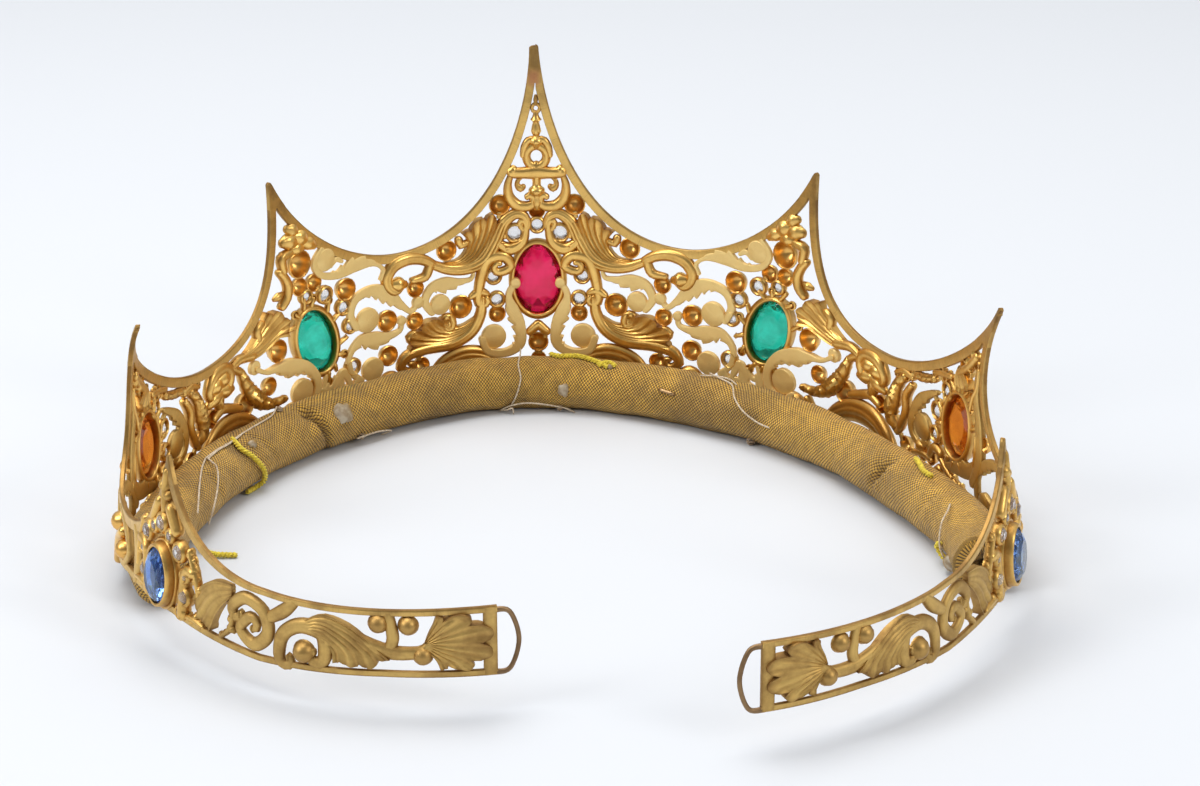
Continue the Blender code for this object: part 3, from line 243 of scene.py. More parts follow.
    ("lumps", [(164.6, 12.0, 1.6), (165.6, 16.6, 2.4), (167.6, 21.6, 2.2)]),
    ("lumps", [(189.2, 12.0, 1.6), (188.4, 16.6, 2.4), (186.4, 21.6, 2.2)]),
    ("lumps", [(171.0, 8.9, 1.7), (167.0, 9.4, 2.2), (163.6, 9.0, 1.7)]),
    ("lumps", [(183.2, 8.6, 1.7), (187.0, 8.9, 2.2), (190.0, 8.4, 1.7)]),
    ("curl", [(166.6, 17.8, 2.0), (169.2, 17.0, 2.0), (170.4, 9.0, 2.2)]),
    ("curl", [(187.4, 17.8, 2.0), (185.0, 17.0, 2.0), (183.8, 9.0, 2.2)]),
    ("lumps", [(195.0, 8.2, 1.4), (197.4, 10.4, 2.0), (198.4, 13.6, 1.6)]),
    # Tail: a ring scroll, a long acanthus scroll and a closed leaf.
    ("curl", [(198.6, 15.6, 1.9), (201.6, 17.2, 1.9), (205.4, 15.6, 2.0), (206.2, 11.6, 2.0),
              (203.0, 8.8, 2.0), (199.8, 11.0, 1.7), (201.6, 13.4, 1.7)]),
    ("curl", [(206.0, 14.4, 1.6), (209.6, 16.6, 2.0), (211.8, 18.6, 1.6)]),
    ("curl", [(208.4, 8.2, 1.8), (209.4, 12.2, 2.0), (213.0, 14.6, 2.2), (217.4, 13.8, 2.6),
              (217.6, 9.6, 2.0)]),
    ("curl", [(222.0, 14.4, 1.8), (226.0, 12.4, 2.2), (230.0, 11.4, 2.0), (234.6, 11.6, 1.7),
              (236.4, 13.0, 1.6)]),
    ("curl", [(229.2, 18.4, 1.5), (229.9, 14.0, 1.7), (228.8, 11.6, 1.5)]),
]

# Strokes that lie on the centre line and are not mirrored.
CENTRE_STROKES = [
    ("turned", [(0.0, 66.2, 1.2), (0.0, 65.2, 1.8), (0.0, 64.6, 2.8), (0.0, 64.1, 1.6), (0.0, 63.2, 2.0),
                (0.0, 61.8, 2.5), (0.0, 61.0, 1.6), (0.0, 60.4, 3.0), (0.0, 59.6, 3.8), (0.0, 58.8, 2.6)]),
    ("turned", [(0.0, 70.0, 0.8), (0.0, 69.0, 1.2), (0.0, 68.6, 1.0), (0.0, 68.2, 1.2)]),
    ("curl", [(-6.2, 52.5, 2.0), (-3.4, 52.4, 2.1), (0.0, 52.5, 2.6), (3.4, 52.4, 2.1), (6.2, 52.5, 2.0)]),
    ("turned", [(0.0, 54.4, 1.8), (0.0, 52.6, 2.6), (0.0, 50.6, 2.2), (0.0, 49.4, 2.2), (0.0, 48.7, 3.7),
                (0.0, 47.9, 4.0), (0.0, 47.0, 2.6), (0.0, 46.2, 2.8), (0.0, 45.2, 3.0), (0.0, 44.4, 2.2)]),
    ("turned", [(-4.4, 44.9, 1.2), (-3.6, 44.6, 2.2), (-2.6, 44.8, 1.4)]),
    ("turned", [(4.4, 44.9, 1.2), (3.6, 44.6, 2.2), (2.6, 44.8, 1.4)]),
]

# Closed ring of the centre column: s, z, radius of its middle, width.
CENTRE_RING = (0.0, 56.2, 2.45, 2.2)
EYELET = (0.0, 67.2, 0.95, 0.9)

# Stamped leaves: each row is one leaf, and each of its spines runs from the root to the tip of a lobe.
LEAVES = [
    [[(23.8, 32.2), (19.6, 31.4), (15.6, 31.6), (12.2, 34.4), (10.0, 38.4), (8.4, 41.0)],
     [(23.4, 32.6), (19.4, 32.1), (15.8, 33.0), (13.0, 36.4), (11.4, 40.2), (10.8, 43.3)],
     [(22.8, 32.9), (19.2, 32.7), (16.6, 34.0), (15.0, 37.0), (14.2, 39.6), (14.4, 42.2)],
     [(22.2, 33.2), (19.6, 33.3), (18.0, 34.4), (17.0, 36.2), (17.0, 37.8), (18.2, 39.2)]],
    [[(14.4, 17.6), (17.0, 15.0), (21.6, 13.4), (26.6, 13.4), (31.4, 12.8)],
     [(14.6, 18.2), (17.6, 15.9), (22.0, 14.8), (26.6, 15.2), (31.2, 16.9)],
     [(14.8, 18.8), (18.0, 16.8), (21.6, 16.2), (24.6, 17.4), (26.6, 19.9)],
     [(15.0, 19.2), (17.6, 17.7), (19.4, 17.6), (20.6, 18.6), (21.2, 20.4)]],
    [[(2.0, 40.4), (2.2, 38.4), (3.4, 36.6), (5.6, 35.0), (7.6, 34.6)],
     [(2.6, 40.2), (3.2, 38.0), (4.8, 36.6), (7.0, 36.2), (9.0, 36.6)]],
    [[(80.2, 23.2), (76.0, 22.4), (71.6, 23.4), (68.4, 25.0), (65.0, 24.8)],
     [(79.8, 23.8), (76.0, 23.8), (71.6, 25.4), (68.0, 27.0), (65.0, 28.4)],
     [(79.2, 24.4), (76.0, 25.2), (72.6, 27.4), (70.2, 29.2), (68.0, 31.2)],
     [(78.6, 24.8), (76.6, 26.0), (74.6, 27.8), (73.2, 29.4), (71.8, 31.8)]],
    [[(122.2, 31.6), (121.4, 29.4), (121.8, 27.2)],
     [(123.0, 32.2), (124.0, 29.8), (125.4, 27.4)],
     [(123.8, 32.6), (126.4, 31.4), (129.0, 29.6)]],
    [[(213.6, 15.6), (217.4, 17.4), (222.0, 16.2), (226.4, 12.8), (229.4, 10.4)],
     [(213.6, 15.0), (217.6, 16.0), (221.8, 14.2), (224.8, 11.4), (226.2, 8.6)],
     [(213.8, 14.4), (217.4, 14.6), (220.4, 12.8), (222.0, 10.8), (222.6, 8.6)],
     [(213.8, 13.9), (216.6, 13.2), (218.4, 12.0), (219.2, 10.8), (219.4, 9.0)]],
    [[(235.3, 13.4), (236.0, 15.2), (236.8, 16.8), (237.4, 18.6)],
     [(235.5, 13.4), (237.8, 15.4), (239.8, 17.0), (242.2, 18.8)],
     [(235.8, 13.3), (239.4, 14.4), (243.2, 15.2), (247.0, 15.6)],
     [(235.8, 13.1), (239.4, 12.6), (243.2, 11.8), (246.8, 11.0)],
     [(235.5, 12.9), (237.8, 11.6), (240.4, 10.2), (242.8, 8.4)],
     [(235.3, 12.8), (236.2, 11.6), (237.2, 10.4), (238.0, 8.6)]],
    [[(198.4, 18.8), (194.2, 18.6), (190.4, 16.6), (188.0, 13.4)],
     [(198.4, 17.6), (194.6, 16.2), (191.6, 13.6), (189.4, 10.4)],
     [(198.2, 16.6), (195.8, 14.2), (193.8, 11.4), (192.6, 8.6)]],
]

# Wire loop soldered to each tail's end: distance beyond the tail, z and width of points on its middle.
END_LOOP = [(-0.8, 19.0, 1.2), (2.2, 18.5, 0.9), (3.8, 13.2, 0.9), (2.2, 7.9, 0.9), (-0.8, 7.4, 1.2)]
END_PLATE_WIDTH = 2.4

# The roll: its radius, and the sides of the plain solid whose flat underside it keeps.
ROLL_RADIUS = 5.9
ROLL_SIDES = 12
# How far the roll's middle lies inside the wall: s, distance.
ROLL_INSET = {
    -1: [(0, 9.4), (60, 8.2), (110, 7.2), (160, 6.9)],
    1: [(0, 9.4), (40, 10.6), (80, 11.0), (120, 9.8), (150, 7.6), (160, 7.0)],
}
ROLL_REACH = {-1: 158.0, 1: 160.0}

# Short soldered links that hold the smaller pieces of the ornament: s and z of both ends.
LINKS = [
    (179.8, 28.5, 181.8, 28.2), (108.9, 14.7, 109.4, 13.3), (104.2, 14.1, 102.5, 14.4),
    (182.4, 19.2, 180.7, 18.7), (55.2, 32.6, 56.4, 34.0), (154.3, 9.6, 154.0, 8.3),
    (143.6, 12.0, 142.4, 10.9), (97.8, 7.6, 97.0, 9.1), (71.4, 13.8, 72.8, 13.7), (28.6, 10.6, 28.6, 12.6),
    (9.0, 43.5, 9.2, 42.0), (0.2, 9.3, 0.5, 10.6), (1.6, 13.1, 1.7, 14.3), (151.8, 11.1, 150.9, 11.9),
    (108.3, 9.3, 107.7, 11.2), (116.0, 26.4, 114.9, 27.6), (111.1, 22.6, 112.8, 21.2),
]


def blend(rows, s):
    """Value at s of a table of (s, value) rows, straight between the rows."""
    for (s0, v0), (s1, v1) in zip(rows, rows[1:]):
        if s <= s1:
            t = max(0.0, (s - s0) / (s1 - s0))
            return v0 + (v1 - v0) * t
    return rows[-1][1]


def smooth(low, high, value):
    """0 below low, 1 above high, smooth between; low may be the larger."""
    t = min(1.0, max(0.0, (value - low) / (high - low)))
    return t * t * (3 - 2 * t)


def walk_plan(rows, heading):
    """Positions and headings at each millimetre along one half of the wall."""
    x, y = 0.0, 0.0
    stations = []
    for step in range(WALL_LENGTH + 1):
        stations.append((x, y, heading))
        turn = math.radians(blend(rows, step + 0.5)) / 10
        x += math.cos(heading + turn / 2)
        y -= math.sin(heading + turn / 2)
        heading += turn
    return stations


PLANS = {
    -1: walk_plan(LEFT_PLAN, math.radians(FRONT_HEADING)),
    1: walk_plan(RIGHT_PLAN, -math.radians(FRONT_HEADING)),
}


def on_wall(s, z, out):
    """World point in metres of chart place (s, z), `out` millimetres outside the wall's middle."""
    side = -1 if s < 0 else 1
    along = min(abs(s), WALL_LENGTH - 0.001)
    index = int(along)
    x0, y0, h0 = PLANS[side][index]
    x1, y1, h1 = PLANS[side][index + 1]
    t = along - index
    x, y, heading = x0 + (x1 - x0) * t, y0 + (y1 - y0) * t, h0 + (h1 - h0) * t
    fade = min(1.0, max(0.0, (LEAN_ENDS_AT - along) / (LEAN_ENDS_AT - LEAN_FADES_FROM)))
    push = out - math.tan(math.radians(WALL_LEAN)) * fade * z
    if side == BENT_PEAK["side"] and BENT_PEAK["from_s"] < along < BENT_PEAK["to_s"]:
        rise = max(0.0, (z - BENT_PEAK["from_z"]) / (BENT_PEAK["to_z"] - BENT_PEAK["from_z"]))
        push -= BENT_PEAK["bend"] * rise * rise
    x = side * (x + push * math.sin(heading)) + FRONT_X
    y = y + push * math.cos(heading) + FRONT_Y
    return Vector((x * MM, y * MM, z * MM))


def curve_points(start, handle_a, handle_b, end, count):
    """Points of one cubic curve, with both of its ends."""
    points = []
    for i in range(count + 1):
        t = i / count
        weights = ((1 - t) ** 3, 3 * t * (1 - t) ** 2, 3 * t * t * (1 - t), t ** 3)
        points.append(tuple(
            sum(w * p[axis] for w, p in zip(weights, (start, handle_a, handle_b, end)))
            for axis in (0, 1)
        ))
    return points


def spline(before, start, end, after, t):
    """Place at t of the smooth curve from start to end; for numbers and for vectors."""
    return 0.5 * (2 * start + (end - before) * t + (2 * before - 5 * start + 4 * end - after) * t * t
                  + (3 * start - before - 3 * end + after) * t ** 3)


def circle(count, turn=0.0):
    """Cosine and sine at even steps round a circle."""
    angles = [2 * math.pi * (i + turn) / count for i in range(count)]
    return [(math.cos(a), math.sin(a)) for a in angles]


def smooth_stroke(points, step):
    """Samples on a smooth line through a stroke's points, about `step` apart."""
    padded = [points[0]] + list(points) + [points[-1]]
    samples = []
    for a, b, c, d in zip(padded, padded[1:], padded[2:], padded[3:]):
        pieces = max(1, round(math.dist(b[:2], c[:2]) / step))
        for i in range(pieces):
            t = i / pieces
            samples.append(tuple(spline(*four, t) for four in zip(a, b, c, d)))
    samples.append(tuple(points[-1]))
    return samples


def mirrored(points):
    return [(-p[0],) + tuple(p[1:]) for p in points]


def oval_points(s, z, half_s, half_z, lean, sides, turn=0.0):
    """Points of an oval whose top leans away from the centre."""
    aslant, upright = math.sin(math.radians(lean)), math.cos(math.radians(lean))
    points = []
    for cosine, sine in circle(sides, turn):
        u, v = half_s * cosine, half_z * sine
        points.append((s + u * upright + v * aslant, z - u * aslant + v * upright))
    return points


PEAKS = [(0.0, 81.0), (70.8, 60.1), (146.0, 51.7), (178.0, 37.0)]


def patina_at(s, z):
    """Tarnish: strongest at the tips of the peaks and on the tails."""
    tip = max(smooth(16, 3, math.hypot(abs(s) - ps, (z - pz) * 0.8)) for ps, pz in PEAKS)
    tail = smooth(150, 200, abs(s))
    return max(tip, 0.75 * tail)


class Shell:
    """Points, faces, painted shade and wear of one piece while it is built."""

    def __init__(self):
        self.points = []
        self.faces = []
        self.recess = []
        self.patina = []
        self.brush = []

    def add(self, places, faces, brush=None):
        """places: rows of (s, z, out, recess); recess darkens the place as painted shade, together with
        tarnish in hollows.
        """
        first = len(self.points)
        for i, (s, z, out, recess) in enumerate(places):
            self.points.append(on_wall(s, z, out))
            self.recess.append(min(1.0, max(0.0, recess)))
            self.patina.append(patina_at(s, z))
            self.brush.append(brush[i] if brush else (s, z, 0.0))
        self.faces += [[first + i for i in face] for face in faces]

    def rings(self, rings, closed=False, brush=None):
        """Closed rings of the same number of places, skinned one to the next, with flat ends."""
        count = len(rings[0])
        places = [place for ring in rings for place in ring]
        faces = []
        spans = len(rings) if closed else len(rings) - 1
        for level in range(spans):
            a, b = level * count, (level + 1) % len(rings) * count
            for i in range(count):
                j = (i + 1) % count
                faces.append([a + i, a + j, b + j, b + i])
        if not closed:
            faces.append(list(range(count))[::-1])
            faces.append([(len(rings) - 1) * count + i for i in range(count)])
        self.add(places, faces, brush)

    def piece(self, name, material, slot, sharp=45, replaces="openwork_band"):
        """The built shell as a finished piece, with its painted shade and its wear as attributes."""
        mesh = new_mesh(name, [tuple(p) for p in self.points], self.faces)
        for key, values in (("recess", self.recess), ("patina", self.patina)):
            layer = mesh.attributes.new(key, "FLOAT", "POINT")
            layer.data.foreach_set("value", values)
        layer = mesh.attributes.new("brush", "FLOAT_VECTOR", "POINT")
        layer.data.foreach_set("vector", [v for row in self.brush for v in row])
        return finish_mesh(name, mesh, material, sharp, replaces)


def new_mesh(name, points, faces=()):
    mesh = bpy.data.meshes.new(name)
    mesh.from_pydata(points, [], faces)
    mesh.update()
    return mesh


def finish_mesh(name, mesh, material, sharp=45, replaces=None):
    """A mesh as a piece of the crown, with outward normals and its material."""
    shape = bmesh.new()
    shape.from_mesh(mesh)
    bmesh.ops.recalc_face_normals(shape, faces=shape.faces)
    shape.to_mesh(mesh)
    shape.free()
    mesh.shade_smooth()
    mesh.set_sharp_from_angle(angle=math.radians(sharp))
    mesh.materials.clear()
    mesh.materials.append(material)
    made = bpy.data.objects.new(name, mesh)
    bpy.context.collection.objects.link(made)
    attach(made, "root")
    if replaces:
        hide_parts(*([replaces] if isinstance(replaces, str) else replaces))
    return made


def sweep(shell, samples, profile, ends=True):
    """Sweeps profile(half width, length so far, length) along samples of (s, z, width) on the chart."""
    samples = list(samples)
    if ends:
        for index, inner in ((0, 1), (-1, -2)):
            s, z, width = samples[index]
            ds, dz = s - samples[inner][0], z - samples[inner][1]
            length = math.hypot(ds, dz)
            extra = []
            for degrees in (35, 62, 84):
                a = math.radians(degrees)
                reach = 0.42 * width * math.sin(a) / length
                extra.append((s + ds * reach, z + dz * reach, width * math.cos(a)))
            samples = extra[::-1] + samples if index == 0 else samples + extra
    rings = []
    last = len(samples) - 1
    total = sum(math.dist(a[:2], b[:2]) for a, b in zip(samples, samples[1:]))
    along = 0.0
    for i, (s, z, width) in enumerate(samples):
        a, b = samples[max(0, i - 1)], samples[min(last, i + 1)]
        ds, dz = b[0] - a[0], b[1] - a[1]
        length = math.hypot(ds, dz) or 1.0
        ns, nz = -dz / length, ds / length
        half = width / 2
        if i:
            along += math.dist(samples[i - 1][:2], (s, z))
        rings.append([(s + ns * u * half, z + nz * u * half, out, recess)
                      for u, out, recess in profile(half, along, total)])
    shell.rings(rings)


def channel(flutes=1, ribs=0.0, back=0.0, rise=1.0):
    """Profile of a stamped scroll, raised outside and rounded inside as well.

    It has lengthwise flutes, slanting ribs or neither; `back` sets it off from its neighbours.
    """
    def profile(half, along, total):
        count = 8 if flutes == 1 else 5 * flutes
        lift = rise * min(1.35, 0.3 + 0.7 * half)
        outer, inner = [], []
        for i in range(count + 1):
            u = -1 + 2 * i / count
            dome = max(0.0, 1 - abs(u) ** 2.4) ** 0.7
            if flutes > 1:
                groove = abs(math.sin(math.pi * flutes * (u + 1) / 2)) ** 0.8
                cut = 0.14 if half < 1.6 else 0.3
                dome *= 1 - cut + cut * groove
            if ribs:
                dome *= 1 + ribs * math.sin(2 * math.pi * (along - 0.5 * abs(u) * half) / 1.3)
            # recess darkens the scroll towards its edges on both faces: painted shade, with darker cut edges.
            outer.append((u, 0.1 + back + lift * dome, 0.75 * (1 - dome)))
            inner.append((u, -0.28 - back - 0.62 * lift * dome, 0.8 * (1 - dome)))
        return inner + outer[::-1]
    return profile


def turned(half, along, total):
    """Round profile of a turned piece."""
    # recess darkens thin turned pieces all round: painted shade.
    return [(across, 0.05 + 0.85 * half * out, max(0.0, 0.9 - 0.75 * half)) for across, out in circle(14)]


def bead(shell, s, z, size):
    """A small solid bead that stands in the wall."""
    sweep(shell, [(s - 0.3 * size, z, size), (s, z, 2 * size), (s + 0.3 * size, z, size)], turned)


def plate(thick_in, thick_out, crown=0.12, teeth=0.0, side=1):
    """Profile of a flat-backed scroll with softened edges and a slightly crowned front.

    Its leafy middle has teeth, that many millimetres long, along one side.
    """
    def profile(half, along, total):
        edge = min(0.14, 0.3 * half) / max(half, 0.05)
        row = plain(edge)
        t = along / total
        if teeth and 0.2 < t < 0.62 and half > 0.4:
            reach = teeth * (1 - along / 2.8 % 1.0) * math.sin(math.pi * (t - 0.2) / 0.42) ** 0.5
            row = [(u * (1 + reach / half) if u * side > 0.3 else u, out, recess) for u, out, recess in row]
        return row

    def plain(edge):
        # recess darkens the plate's edges and side walls: painted shade, with darker cut edges.
        return [
            (-1, -thick_in + 0.12, 0.55), (-1 + edge, -thick_in, 0.05), (-0.4, -thick_in - 0.015, 0.0),
            (0.4, -thick_in - 0.015, 0.0), (1 - edge, -thick_in, 0.05), (1, -thick_in + 0.12, 0.55),
            (1, thick_out - 0.2, 0.7), (1 - 2 * edge, thick_out, 0.3), (0.35, thick_out + crown, 0.0),
            (-0.35, thick_out + crown, 0.0), (-1 + 2 * edge, thick_out, 0.3), (-1, thick_out - 0.2, 0.7),
        ]
    return profile


def even_points(points, count):
    """The polyline through the points as count + 1 smooth samples of equal length."""
    fine = smooth_stroke([(s, z, 1.0) for s, z in points], 0.25)
    reach = [0.0]
    for a, b in zip(fine, fine[1:]):
        reach.append(reach[-1] + math.dist(a[:2], b[:2]))
    out = []
    for i in range(count + 1):
        want = reach[-1] * i / count
        k = max(1, next((j for j, r in enumerate(reach) if r >= want), len(reach) - 1))
        t = (want - reach[k - 1]) / ((reach[k] - reach[k - 1]) or 1.0)
        t = min(1.0, t)
        out.append(tuple(fine[k - 1][n] + (fine[k][n] - fine[k - 1][n]) * t for n in (0, 1)))
    return out


def fan(shell, spines, back=0.0, notch=0.07, swell=0.7, fold=0.4):
    """A stamped leaf laid through its spines; each spine is a raised flute that ends in a lobe."""
    steps, between = 12, 8
    rows = [even_points(spine, steps) for spine in spines]
    across = (len(rows) - 1) * between
    inner, outer = [], []
    for k in range(across + 1):
        i = min(k // between, len(rows) - 2)
        t = k / between - i
        a, b, c, d = rows[max(0, i - 1)], rows[i], rows[i + 1], rows[min(len(rows) - 1, i + 2)]
        line = [tuple(spline(*values, t) for values in zip(*four)) for four in zip(a, b, c, d)]
        groove = 0.5 - 0.5 * math.cos(4 * math.pi * t)
        valley = 1 - math.sqrt(1 - 0.96 * (2 * min(t, 1 - t)) ** 2)
        body = math.sin(math.pi * (0.1 + 0.8 * k / across)) ** 0.6
        for j in range(steps + 1):
            f = j / steps
            place = f * (1 - notch * valley * f) * steps
            n = min(int(place), steps - 1)
            part = place - n
            s = line[n][0] + (line[n + 1][0] - line[n][0]) * part
            z = line[n][1] + (line[n + 1][1] - line[n][1]) * part
            lift = swell * body * math.sin(math.pi * (0.12 + 0.8 * f)) ** 0.7
            flute = fold * (1 - groove) ** 0.8 * (0.35 + 0.65 * f)
            lip = 0.45 * smooth(0.84, 0.96, f)
            # dark is painted shade in the grooves between flutes and the notches between lobes, with darker
            # cut edges along the border.
            dark = 0.35 * groove ** 2 + 0.6 * valley * f + 0.5 * (k in (0, across)) + 0.5 * (j in (0, steps))
            inner.append((s, z, -0.3 + back - 0.6 * lift - flute - lip, dark))
            outer.append((s, z, 0.1 + back + lift + flute + lip, dark))
    wide = steps + 1
    half = len(inner)
    faces = []
    for k in range(across):
        for j in range(steps):
            corner = k * wide + j
            face = [corner, corner + 1, corner + 1 + wide, corner + wide]
            faces += [face, [half + i for i in face[::-1]]]
    border = [k * wide for k in range(across + 1)] + [across * wide + j for j in range(1, wide)]
    border += [k * wide + steps for k in range(across - 1, -1, -1)] + list(range(steps - 1, 0, -1))
    for i, j in zip(border, border[1:] + border[:1]):
        faces.append([i, j, half + j, half + i])
    shell.add(inner + outer, faces)


def bowl(shell, s, z, radius, lift, sides, steps):
    """Hollow stamped half ball that bulges outside the wall, with a narrow flange."""
    # recess darkens the inside of the hollow towards its bottom and the outside towards its base: painted
    # shade.
    ladder = [(radius + 0.22, -0.4, 0.2)]
    for i in range(steps + 1):
        a = 0.5 * math.pi * i / steps
        ladder.append((max(0.03, (radius - 0.12) * math.cos(a)), -0.44 + lift * 0.96 * math.sin(a),
                       0.25 + 0.5 * math.sin(a) ** 1.5))
    for i in range(steps, -1, -1):
        a = 0.5 * math.pi * i / steps
        ladder.append((max(0.04, (radius + 0.05) * math.cos(a)), lift * math.sin(a), 0.8 * (1 - math.sin(a))))
    ladder.append((radius + 0.22, 0.0, 0.7))
    rings = [[(s + r * cosine, z + r * sine, out, recess) for r, out, recess in ladder]
             for cosine, sine in circle(sides)]
    shell.rings(rings, closed=True)


def collar(shell, s, z, half_s, half_z, lean, ladder, sides):
    """Closed ring round an oval; each row of its ladder is distance outside the edge, out, recess."""
    rings = [[] for _ in range(sides)]
    for away, out, recess in ladder:
        for i, (ps, pz) in enumerate(oval_points(s, z, half_s + away, half_z + away, lean, sides)):
            rings[i].append((ps, pz, out, recess))
    shell.rings(rings, closed=True)


def node(tree, kind, inputs=None, **settings):
    """A new node with its settings; inputs are values or the sockets that feed them."""
    made = tree.nodes.new(kind)
    for key, value in settings.items():
        setattr(made, key, value)
    for key, value in (inputs or {}).items():
        if isinstance(value, bpy.types.NodeSocket):
            tree.links.new(value, made.inputs[key])
        else:
            made.inputs[key].default_value = value
    return made


def maths(tree, operation, a, b=0.0, clamp=False):
    """One step of arithmetic; a and b are sockets or numbers."""
    return node(tree, "ShaderNodeMath", {0: a, 1: b}, operation=operation, use_clamp=clamp).outputs[0]


def times(tree, a, b, clamp=False):
    return maths(tree, "MULTIPLY", a, b, clamp)


def plus(tree, a, b, clamp=False):
    return maths(tree, "ADD", a, b, clamp)


def mix(tree, factor, a, b):
    """Colour from a to b; one given as three numbers gets its fourth."""
    a, b = ((*c, 1) if isinstance(c, tuple) and len(c) == 3 else c for c in (a, b))
    return node(tree, "ShaderNodeMix", {0: factor, 6: a, 7: b}, data_type="RGBA").outputs[2]


def object_place(tree):
    """Place on the piece, in metres."""
    return node(tree, "ShaderNodeTexCoord").outputs["Object"]


def bump(tree, height, strength, distance=0.0001, normal=None):
    """Relief from a height; distance is its depth in metres."""
    inputs = {"Strength": strength, "Distance": distance, "Height": height}
    if normal is not None:
        inputs["Normal"] = normal
    return node(tree, "ShaderNodeBump", inputs).outputs[0]


def ramp(tree, value, low, high, to_low=0.0, to_high=1.0):
    """Value from low..high to to_low..to_high, clamped and smooth."""
    return node(tree, "ShaderNodeMapRange", {0: value, 1: low, 2: high, 3: to_low, 4: to_high},
                interpolation_type="SMOOTHSTEP").outputs[0]


def noise_at(tree, vector, scale, detail=3.0, roughness=0.55):
    return node(tree, "ShaderNodeTexNoise",
                {"Vector": vector, "Scale": scale, "Detail": detail, "Roughness": roughness}).outputs[0]


def new_group(name, inputs, outputs):
    """A shader group with its sockets: rows of (name, type, default)."""
    group = bpy.data.node_groups.new(name, "ShaderNodeTree")
    for label, kind, value in inputs:
        socket = group.interface.new_socket(label, in_out="INPUT", socket_type=kind)
        if value is not None:
            socket.default_value = value
    for label, kind in outputs:
        group.interface.new_socket(label, in_out="OUTPUT", socket_type=kind)
    start = group.nodes.new("NodeGroupInput")
    end = group.nodes.new("NodeGroupOutput")
    return group, start.outputs, end.inputs


def worn_metal_group():
    """Gilt over brass: brown in the recesses, as painted shade together with tarnish in the hollows; mottled
    by age, tarnished where patina is high.
    """
    group, start, end = new_group("worn_gilding", [
        ("Bright", "NodeSocketColor", (1, 1, 1, 1)), ("Dark", "NodeSocketColor", (0, 0, 0, 1)),
        ("Tarnish", "NodeSocketColor", (0, 0, 0, 1)), ("Recess", "NodeSocketFloat", 0.0),
        ("Patina", "NodeSocketFloat", 0.0), ("Roughness", "NodeSocketFloat", 0.3),
        ("Grain scale", "NodeSocketFloat", 3000.0), ("Grain", "NodeSocketFloat", 0.1),
    ], [("Color", "NodeSocketColor"), ("Roughness", "NodeSocketFloat"), ("Normal", "NodeSocketVector")])
    place = object_place(group)
    patches = ramp(group, noise_at(group, place, 190.0, 5.0, 0.6), 0.38, 0.68)
    specks = ramp(group, noise_at(group, place, 1300.0, 3.0, 0.6), 0.5, 0.72)
    grain = noise_at(group, place, start["Grain scale"], 2.0, 0.5)
    # Recess darkening: painted shade in hollows and crevices, with their tarnish.
    hollow = times(group, start["Recess"], 0.8)
    dirt = times(group, patches, 0.2)
    dark = plus(group, plus(group, hollow, dirt), times(group, specks, 0.1), True)
    colour = mix(group, dark, start["Bright"], start["Dark"])
    mottled = plus(group, times(group, patches, 0.5), 0.5)
    aged = times(group, start["Patina"], mottled)
    colour = mix(group, times(group, aged, 0.75, True), colour, start["Tarnish"])
    rough = plus(group, start["Roughness"], times(group, dark, 0.16))
    rough = plus(group, rough, times(group, aged, 0.14), True)
    pits = times(group, specks, 0.04)
    relief = plus(group, times(group, grain, start["Grain"]), pits)
    group.links.new(colour, end["Color"])
    group.links.new(rough, end["Roughness"])
    group.links.new(bump(group, relief, 0.6), end["Normal"])
    return group


WORN = worn_metal_group()


def material(name):
    """A new material, its tree and its Principled shader."""
    made = bpy.data.materials.new(name)
    made.use_nodes = True
    return made, made.node_tree, made.node_tree.nodes["Principled BSDF"]


def set_shader(shader, **values):
    """Sets sockets of the Principled shader, or links them; _ stands for a space in a name."""
    for key, value in values.items():
        socket = shader.inputs[key.replace("_", " ")]
        if isinstance(value, bpy.types.NodeSocket):
            shader.id_data.links.new(value, socket)
        else:
            socket.default_value = value


def attribute(tree, name, output="Fac"):
    return node(tree, "ShaderNodeAttribute", attribute_name=name).outputs[output]


# Reddish stain on the centre peak: its place in metres, how far it spreads from there, its colour.
STAIN = {
    "x": FRONT_X * MM - 0.0003, "z": 0.0740, "wide": 0.0020, "high": 0.0028, "colour": (0.45, 0.13, 0.10),
}


